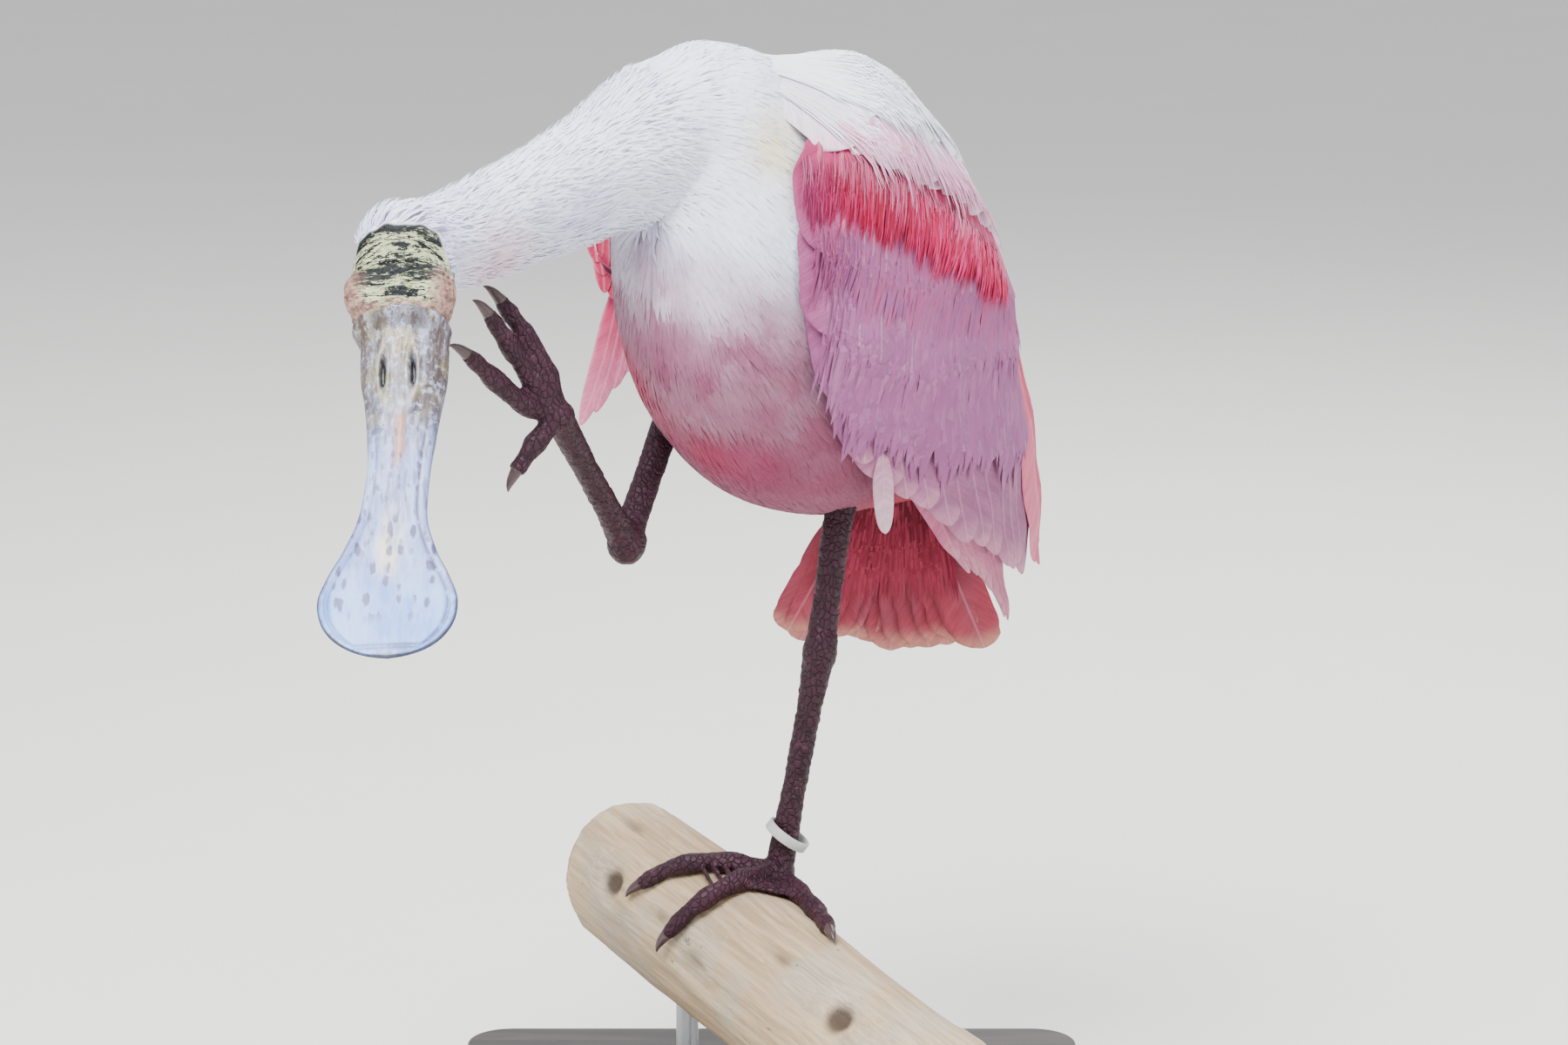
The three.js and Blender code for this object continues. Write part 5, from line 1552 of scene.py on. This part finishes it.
def vaneOutline(s, point):      # share of a vane's half width along it
    start = 0.34 + 0.66 * ease(s, -0.1, 0.34)
    rounded = 0.8 - 0.5 * point
    toTip = np.clip((s - rounded) / (1 - rounded), 0, 1)
    end = np.sqrt(np.clip(1 - toTip ** (2.2 - 0.5 * point), 0.01, 1))
    return start * end


def liftAlong(row, share):
    start, end = row["lift"]
    return start + (end - start) * share


def vanes(surface, row, rng):
    count, (stations, columns) = row["count"], vaneGrid
    k = np.linspace(0, 1, count)
    root, tip = along(row["roots"], k), along(row["tips"], k)
    tip = root + (tip - root) * (1 + rng.uniform(-0.035, 0.03, (count, 1)))
    tip = tip + rng.uniform(-1.6, 1.6, tip.shape)
    width = along(row["widths"], k)[:, 0] * rng.uniform(0.94, 1.06, count)
    run = tip - root
    length = np.linalg.norm(run, axis=1)
    way = run / length[:, None]
    acrossWay = np.stack([-way[:, 1], way[:, 0]], axis=1)
    s = 1 - (1 - np.linspace(0, 1, stations)) ** 1.35
    c = np.linspace(-1, 1, columns)
    c = np.sign(c) * np.abs(c) ** 0.85
    half = 0.5 * width[:, None] * vaneOutline(s, row["point"])[None]
    frayed = 1 - 0.04 * rng.random((count, stations)) * ease(s, 0.25, 0.9)
    for _ in range(2):
        gapAt = rng.uniform(0.45, 0.95, (count, 1))
        frayed = frayed - 0.1 * rng.random((count, 1)) * swell(s[None], gapAt, 0.022)
    edge = np.abs(c)[None, None] ** 6
    offset = (half[:, :, None] * c[None, None]) * (1 - edge * (1 - frayed[:, :, None]))
    sweep = -0.05 * np.abs(offset) * ease(s, 0.5, 1)[None, :, None]      # barbs trail, so the tip is round
    out = np.sin(s * np.pi)[None, :, None] * row["bow"] + offset
    go = s[None, :, None] * length[:, None, None] + sweep
    u, v = (root[:, n, None, None] + way[:, n, None, None] * go + acrossWay[:, n, None, None] * out for n in (0, 1))
    lift = liftAlong(row, s[None, :, None]) + offset * row["slope"]
    lift = lift - 0.028 * offset ** 2 * 0.5 + rng.uniform(-0.2, 0.2, (count, 1, 1))
    ripple = np.sin(go * 0.16 + rng.uniform(0, 6, (count, 1, 1)) + np.abs(offset) * 0.3)
    lift = lift + 0.16 * ripple * np.abs(c)[None, None]
    shaft = 0.45 * swell(offset, 0, 0.9) * (1 - 0.7 * s)[None, :, None]
    thick = 0.26 + 0.2 * (1 - np.abs(c))[None, None] + 0 * lift
    top = surface(u, v, lift + thick / 2 + shaft)
    bottom = surface(u, v, lift - thick / 2)
    space = np.stack([offset * 0.01, go * 0.01 + rng.uniform(0, 9, (count, 1, 1)), 0 * go], axis=-1)
    return {
        "top": top, "bottom": bottom, "s": s[None, :, None] + 0 * go, "c": c[None, None] + 0 * go,
        "k": k[:, None, None] + 0 * go, "space": space, "x": u, "around": v,
    }


def vaneFaces(count, stations, columns):
    each = stations * columns
    top = gridFaces(stations, columns)
    bottom = top[:, ::-1] + each
    i = np.arange(stations - 1) * columns
    left = np.stack([i, i + columns, i + columns + each, i + each], axis=-1)
    last = i + columns - 1
    right = np.stack([last, last + each, last + columns + each, last + columns], axis=-1)
    j = np.arange(columns - 1)
    start = np.stack([j, j + each, j + 1 + each, j + 1], axis=-1)
    j = j + (stations - 1) * columns
    end = np.stack([j, j + 1, j + 1 + each, j + each], axis=-1)
    one = np.concatenate([top, bottom, left, right, start, end])
    return ((np.arange(count) * 2 * each)[:, None, None] + one).reshape(-1, 4)


def bothSides(top, bottom):
    return np.stack([top, bottom], axis=1).reshape(-1, 3)


def vanePiece(name, groups, finish, slot, *nodes):      # groups of vanes, each with their tint
    count = sum(len(vane["top"]) for vane, _ in groups)
    points = np.concatenate([bothSides(vane["top"], vane["bottom"]) for vane, _ in groups])
    # painted shade: the underside of every vane 8% darker than its top
    tint = np.concatenate([bothSides(colour, colour * 0.92) for _, colour in groups])
    space = np.concatenate([bothSides(vane["space"], vane["space"]) for vane, _ in groups])
    faces = turnedOut(points, [vaneFaces(count, *vaneGrid)])
    cells = math.ceil(math.sqrt(count * 2))
    place = np.arange(count * 2)
    corner = np.stack([place % cells, place // cells], axis=-1) / cells
    s, c = np.meshgrid(*(np.linspace(0.06, 0.94, steps) for steps in vaneGrid), indexing="ij")
    local = np.stack([c, s], axis=-1).reshape(1, -1, 2) / cells
    bakeMap = (corner[:, None] + local).reshape(-1, 2)
    piece = meshObject(name, points, faces, {"OFBake": bakeMap}, {"tint": tint, "vaneSpace": space})
    finishPiece(piece, finish, slot, *nodes)


def wingTint(key, vane, rng):
    colour = mixed(*wingTones[key], ease(vane["s"], 0.1, 0.95))
    own = 1 + rng.uniform(-0.08, 0.06, (len(vane["top"]), 1, 1, 1))
    streak = grain(np.stack([vane["around"] * 0.45, vane["x"] * 0.03, vane["k"] * 3], axis=-1), 1, 90)
    colour = colour * own * (1 + 0.09 * streak)[..., None]
    front = ease(towardsFront(vane["x"], vane["around"]), 54, 76)
    if "Coverts" in key or key == "secondaries":
        colour = mixed(colour, tone(140, 58, 100), 0.7 * front)
    if key == "tertials":
        red = ease(grain(np.stack([vane["c"] * 2.2, vane["s"] * 1.6, vane["k"] * 9], axis=-1), 1, 91), 0.15, 0.6)
        colour = mixed(colour, tone(200, 24, 70), 0.7 * red)
    if key in ("secondaries", "primaries"):
        colour = mixed(colour, tone(228, 164, 184), 0.5 * ease(vane["s"], 0.86, 1.0))
    if key == "scapularsLow":
        colour = mixed(colour, tone(222, 150, 184), 0.5 * ease(vane["s"] + 0.2 * streak, 0.55, 1.0))
    return np.clip(colour, 0, 1)


def besideSurface(away, across, lift):
    away, across, lift = np.broadcast_arrays(np.asarray(away, float), across, lift)
    curl = 0.012 * (across - 4) ** 2
    x = -across * 0.94 + lift * 0.2
    y = across * 0.3 - lift + curl - 0.1 * away
    return np.stack([x, y, -away], axis=-1) + np.array(besideBreast["place"])


def wingVanes(name, spread, rng, *nodes):
    surface = wingSurface(spread)
    groups = []
    for key, row in wingRows.items():
        vane = vanes(surface, row, rng)
        groups.append((vane, wingTint(key, vane, rng)))
    if spread["side"] > 0:
        loose = vanes(surface, looseFeather, rng)
        groups.append((loose, wingTint("loose", loose, rng)))
    else:
        for key in ("long", "carmine"):
            vane = vanes(besideSurface, besideBreast[key], rng)
            colour = wingTint(key, vane, rng)
            groups.append((vane, mixed(colour, tone(226, 168, 186), 0.6 * ease(np.abs(vane["c"]), 0.72, 1.0))))
    vanePiece(name, groups, wingFinish, "plumage_pink", *nodes)


# Arm of the wing, under its feathers
armLine = ((68, -16), (44, -8), (8, 14), (-44, 42))
armSection = ((-46, -5), (-30, -3.4), (-12, -2.6), (6, -5), (19, -10), (27, -13))


def wingArm(name, spread):
    surface = wingSurface(spread)
    k = np.linspace(0, 1, 40)
    line = along(armLine, k)
    section = curvePoints(armSection, np.linspace(0, 1, 30))
    full = np.minimum(1, 0.55 + 0.75 * np.sin(np.pi * np.clip(0.12 + 0.76 * k, 0, 1)))[:, None]
    u = line[:, :1] - 0.5 * section[None, :, 0] * full
    v = line[:, 1:] - 0.86 * section[None, :, 0] * full
    top = surface(u, v, section[None, :, 1] * 1.2 - (1 - full) * 4)
    bottom = surface(u, v, np.full_like(u, -hull["armDepth"]))
    points = np.stack([top, bottom]).reshape(-1, 3)
    faces = turnedOut(points, [vaneFaces(1, 40, 30)])
    piece = meshObject(name, points, faces, fields={"tint": np.tile(tone(194, 96, 132), (len(points), 1))})
    finishPiece(piece, pinkDownFinish, "plumage_pink")


# Narrow plumes over the coverts, the carmine band among them. Each kind grows between two lines,
# from a share of the way from the first to the second.
plumes = {
    "white": {
        "count": 2400, "length": (22, 36), "width": (1.8, 3.2), "from": (-0.35, 0.45), "rise": (0.5, 1.1),
        "tier": wingRows["scapularsLow"], "tones": ((238, 238, 250), (234, 228, 242), (236, 222, 234)),
    },
    "high": {
        "count": 1700, "length": (22, 38), "width": (1.8, 3.4), "from": (-0.6, 0.4), "rise": (0.5, 1.1),
        "tier": wingRows["scapularsHigh"], "tones": ((238, 239, 250), (232, 234, 246), (238, 238, 246)),
    },
    "carmine": {
        "count": 1500, "length": (11, 20), "width": (0.9, 2.0), "from": (-0.25, 0.48), "rise": (0.3, 1.3),
        "tier": {
            "roots": ((94, -6), (77, 5), (58, 12), (39, 16), (18, 22), (-2, 29), (-24, 39)),
            "tips": ((84, -22), (68, -10), (48, -1), (32, 3), (16, 7), (-6, 13), (-32, 22)), "lift": (1.0, 1.6),
        },
        "tones": ((212, 0, 92), (166, 0, 56), (222, 50, 126)),
    },
    "blush": {
        "count": 800, "length": (24, 40), "width": (3.0, 6.0), "from": (0.1, 1.0), "rise": (0.05, 0.35),
        "tier": wingRows["medianCoverts"], "tones": ((160, 96, 142), (154, 91, 137), (168, 106, 150)), "settle": 3.2,
    },
    "mauve": {
        "count": 760, "length": (26, 40), "width": (3.4, 6.6), "from": (0.1, 0.8), "rise": (0.05, 0.35),
        "tier": wingRows["greaterCoverts"], "tones": ((156, 94, 140), (151, 89, 135), (164, 104, 148)), "settle": 3.8,
    },
    "rosy": {
        "count": 620, "length": (16, 28), "width": (2.4, 4.8), "from": (0.6, 1.0), "rise": (0.05, 0.35),
        "tier": wingRows["lesserCoverts"], "tones": ((162, 92, 138), (154, 88, 134), (174, 84, 130)), "settle": 2.6,
    },
}


def plumeColour(key, k, start, share, rng):
    tones = np.array([tone(*c) for c in plumes[key]["tones"]])
    places = np.stack([start[:, 0] / 16, start[:, 1] / 16, 0 * k], axis=-1)
    patch = grain(places, 1, 95) * 0.7 + grain(places, 2.6, 96) * 0.5
    colour = mixed(tones[0], tones[1], ease(patch + rng.normal(0, 0.25, len(k)), -0.6, 0.6))
    colour = mixed(colour, tones[2], (rng.random(len(k)) < 0.2) * 0.8)
    front = ease(towardsFront(start[:, 0], start[:, 1]), 60, 76)
    if key == "white":
        colour = mixed(colour, tone(224, 136, 176), 0.8 * ease(share + 0.25 * patch, 0.0, 0.4))
    elif key != "high":
        colour = mixed(colour, tone(144, 52, 98), (0.8 if key == "carmine" else 0.6) * front)
    if key == "carmine":
        colour = mixed(colour, tone(224, 130, 170), 0.6 * ease(-share + 0.2 * patch, 0.06, 0.26))
        colour = mixed(colour, tone(214, 108, 152), 0.7 * ease(-patch + rng.normal(0, 0.2, len(k)), 0.3, 0.8))
    return colour * rng.uniform(0.94, 1.04, (len(k), 1))


def wingPlumes(name, spread, rng):
    surface = wingSurface(spread)
    knots, ups, widths, colours, maps = [], [], [], [], []
    for key, plume in plumes.items():
        row, count = plume["tier"], plume["count"]
        k = rng.random(count)
        root, tip = along(row["roots"], k), along(row["tips"], k)
        way = unit(tip - root)
        acrossWay = np.stack([-way[:, 1], way[:, 0]], axis=1)
        near, far = plume["from"]
        wave = 0.1 * grain(np.stack([k * 9, 0 * k, 0 * k], axis=-1), 1, 93)
        share = near + (far - near) * rng.random(count) ** 1.2 + wave
        start = root + (tip - root) * share[:, None] + acrossWay * rng.normal(0, 1.5, count)[:, None]
        stray = rng.normal(0, 0.06, count) + 0.1 * grain(start[:, [0, 1, 1]], 1 / 11, 94)
        way = unit(way + acrossWay * stray[:, None])
        length = rng.uniform(*plume["length"], count)
        rise = rng.uniform(*plume["rise"], count)
        span = np.linalg.norm(tip - root, axis=1)
        line, above = [], []
        for part, high in ((0, -1.6), (0.33, 0), (0.7, 0.15), (1, -0.05)):
            u = start + way * (length * part)[:, None]
            on = share + length * part / span
            lift = liftAlong(row, np.clip(on, 0, 1)) + rise + high
            lift = lift - plume.get("settle", 0) * ease(on, 0.95, 1.3)     # past the tier it lies on the next one
            here = surface(u[:, 0], u[:, 1], lift)
            line.append(here)
            above.append(unit(surface(u[:, 0], u[:, 1], lift + 2) - here))
        knots.append(np.stack(line, axis=1))
        ups.append(np.stack(above, axis=1))
        widths.append(rng.uniform(*plume["width"], count))
        colours.append(plumeColour(key, k, start, share, rng))
        maps.append(np.stack([0.5 + start[:, 0] / 500, 0.5 + start[:, 1] / 300], axis=-1))
    parts = [np.concatenate(rows) for rows in (knots, ups, widths, colours, maps)]
    bladePiece(name, *parts, pinkDownFinish, "plumage_pink")


featherRng = np.random.default_rng(seeds["wingsAndTail"])
wingVanes("wingLeft", folded, featherRng, "wing_left")
wingVanes("wingRight", drooped, featherRng, "wing_right")
for wingName, held in (("Left", folded), ("Right", drooped)):
    wingArm("arm" + wingName, held)
    wingPlumes("plumes" + wingName, held, featherRng)
print("wings")


# Tail: twelve vanes in a narrow fan, with red coverts above and below
tail = {
    "root": (-112, -2, 13), "length": 110, "fan": 17, "swing": 22, "drop": 12, "twist": 16, "width": 25,
    "vanes": 12, "plumes": 3600,
    # place, half width and half depth
    "stub": ((-6, 22, 11), (12, 25, 10), (30, 25, 7.5), (44, 23, 4), (52, 18, 1.6)),
    "plumesOver": ((-14, 12, 30, 52, 90), (10.5, 11.5, 9.5, 5.6, 3.4)),     # places and how far out the plumes lie
}


def tailSurface(away, across, lift):
    swing, drop, twist = (tail[key] * deg for key in ("swing", "drop", "twist"))
    away, across, lift = np.broadcast_arrays(np.asarray(away, float), across, lift)
    y = across * math.cos(twist) + lift * math.sin(twist)
    rise = lift * math.cos(twist) - across * math.sin(twist)
    x = -away * math.cos(drop) + rise * math.sin(drop)
    z = -away * math.sin(drop) + rise * math.cos(drop)
    forward = x * math.cos(swing) + y * math.sin(swing)
    left = x * math.sin(swing) - y * math.cos(swing)
    return bodyPoint(tail["root"][0] + forward, tail["root"][1] + left, tail["root"][2] + z)


def tailVanes(rng):
    groups = []
    middle = (tail["vanes"] - 1) / 2
    for i in range(tail["vanes"]):
        place = (i - middle) / middle
        outward = abs(place)
        length = tail["length"] + 14 - outward * 9 + rng.uniform(-2, 2)
        angle = place * tail["fan"] * deg
        lift = 3 - outward * 8 + (1.4 if i > middle else 0)
        row = {
            "count": 1, "roots": ((22, place * 13),) * 2, "widths": (tail["width"],) * 2, "lift": (lift * 0.85, lift),
            "tips": ((length * math.cos(angle), length * math.sin(angle) + place * 12),) * 2,
            "slope": -0.02 if place > 0 else 0.02, "bow": 0, "point": 0.0,
        }
        vane = vanes(tailSurface, row, rng)
        # darker at the root: the tail's own deeper red with painted shadow under the wing and coverts
        colour = mixed(tone(130, 36, 58), tone(186, 84, 104), vane["s"])
        rosy = ease(grain(np.stack([vane["c"] * 1.6, vane["s"] * 2.4, vane["k"] + i * 3], axis=-1), 1, 97), 0, 0.6)
        colour = mixed(colour, tone(190, 50, 76), 0.4 * rosy)
        colour = mixed(colour, tone(228, 160, 140), 0.75 * ease(vane["s"] + 0.05 * np.abs(vane["c"]), 0.88, 1.0))
        groups.append((vane, np.clip(colour, 0, 1)))
    vanePiece("tailVanes", groups, tailFinish, "plumage_tail", "tail")


def tailStub():
    x, wide, deep = curvePoints(tail["stub"], np.linspace(0, 1, 24)).T[:, :, None]
    angle = onceRound(40)[None]
    points, faceSets = loft(tailSurface(x + 0 * angle, wide * np.cos(angle), deep * np.sin(angle)))
    piece = meshObject("tailRoot", points, faceSets, fields={"tint": np.tile(tone(140, 30, 52), (len(points), 1))})
    finishPiece(piece, pinkDownFinish, "plumage_tail")


def tailPlumes(rng):
    count = tail["plumes"]
    face = np.where(rng.random(count) < 0.5, 1.0, -1.0)
    away = rng.uniform(-14, 46, count)
    place = rng.uniform(-1, 1, count)
    length = rng.uniform(22, 40, count)
    line, above = [], []
    for share in (0, 0.35, 0.7, 1):
        out = away + length * share
        across = place * (17 + 0.16 * np.maximum(out, 0) + 4 * ease(out, 20, 70))
        bulge = np.sqrt(np.clip(1 - place ** 2, 0, 1))
        body = np.interp(out, *tail["plumesOver"]) * (0.35 + 0.65 * bulge)
        high = np.where(face > 0, body + 1.0, -body - 6.5 * ease(out, 20, 60) - 1.0)
        rise = -2.2 if share == 0 else 0
        here = tailSurface(out, across, high + face * rise)
        line.append(here)
        above.append(unit(tailSurface(out, across, high + face * (rise + 2)) - here))
    # darkest near the root: the coverts' own deep red, deepened with painted shadow under the wing
    colour = mixed(tone(80, 10, 26), tone(148, 44, 68), ease(away + rng.normal(0, 10, count), -10, 60))
    colour = mixed(colour, tone(176, 66, 88), 0.35 * (rng.random(count) < 0.25))
    unwrap = np.stack([0.5 + place * 0.2 + (face > 0) * 0.25, 0.5 + away / 200], axis=-1)
    width = rng.uniform(1.2, 2.4, count)
    line, above = np.stack(line, axis=1), np.stack(above, axis=1)
    bladePiece("tailPlumes", line, above, width, colour, unwrap, pinkDownFinish, "plumage_tail")


tailVanes(featherRng)
tailStub()
tailPlumes(featherRng)
print("tail")


# Plain pale floor and soft studio light
studio = {
    "floor": tone(226, 224, 220),
    "key": ((-500, -900, 1900), 1100, 100),     # place, size, watts
    "fill": ((1300, -1300, 900), 1300, 12),
    "rim": ((500, 1200, 1600), 1000, 44),
    "lightsLookAt": (0, 0, 250),
    "floorSize": 30,            # metres
    "sky": (0.86, 0.88, 0.92, 1),
    "skyStrength": 1.0,
}


def floorFinish():
    made, tree = material("paleFloor", 0.75)
    return surfaced(made, darkened(tree, studio["floor"], mottled(tree, 6.0, 0.03)))


def softLight(name, place, size, power):
    data = bpy.data.lights.new(name, "AREA")
    data.size = size * mm
    data.energy = power
    aimed(bpy.data.objects.new(name, data), place, studio["lightsLookAt"])


bpy.ops.mesh.primitive_plane_add(size=studio["floorSize"], location=(0, 0, 0))
studioFloor = bpy.context.active_object
studioFloor.name = "studioFloor"
studioFloor.data.materials.append(floorFinish())
for lightName in ("key", "fill", "rim"):
    softLight(lightName + "Light", *studio[lightName])
world = bpy.data.worlds.new("paleRoom")
world.use_nodes = True
sky = world.node_tree.nodes["Background"].inputs
sky["Color"].default_value = studio["sky"]
sky["Strength"].default_value = studio["skyStrength"]
bpy.context.scene.world = world
print("floor and lights")
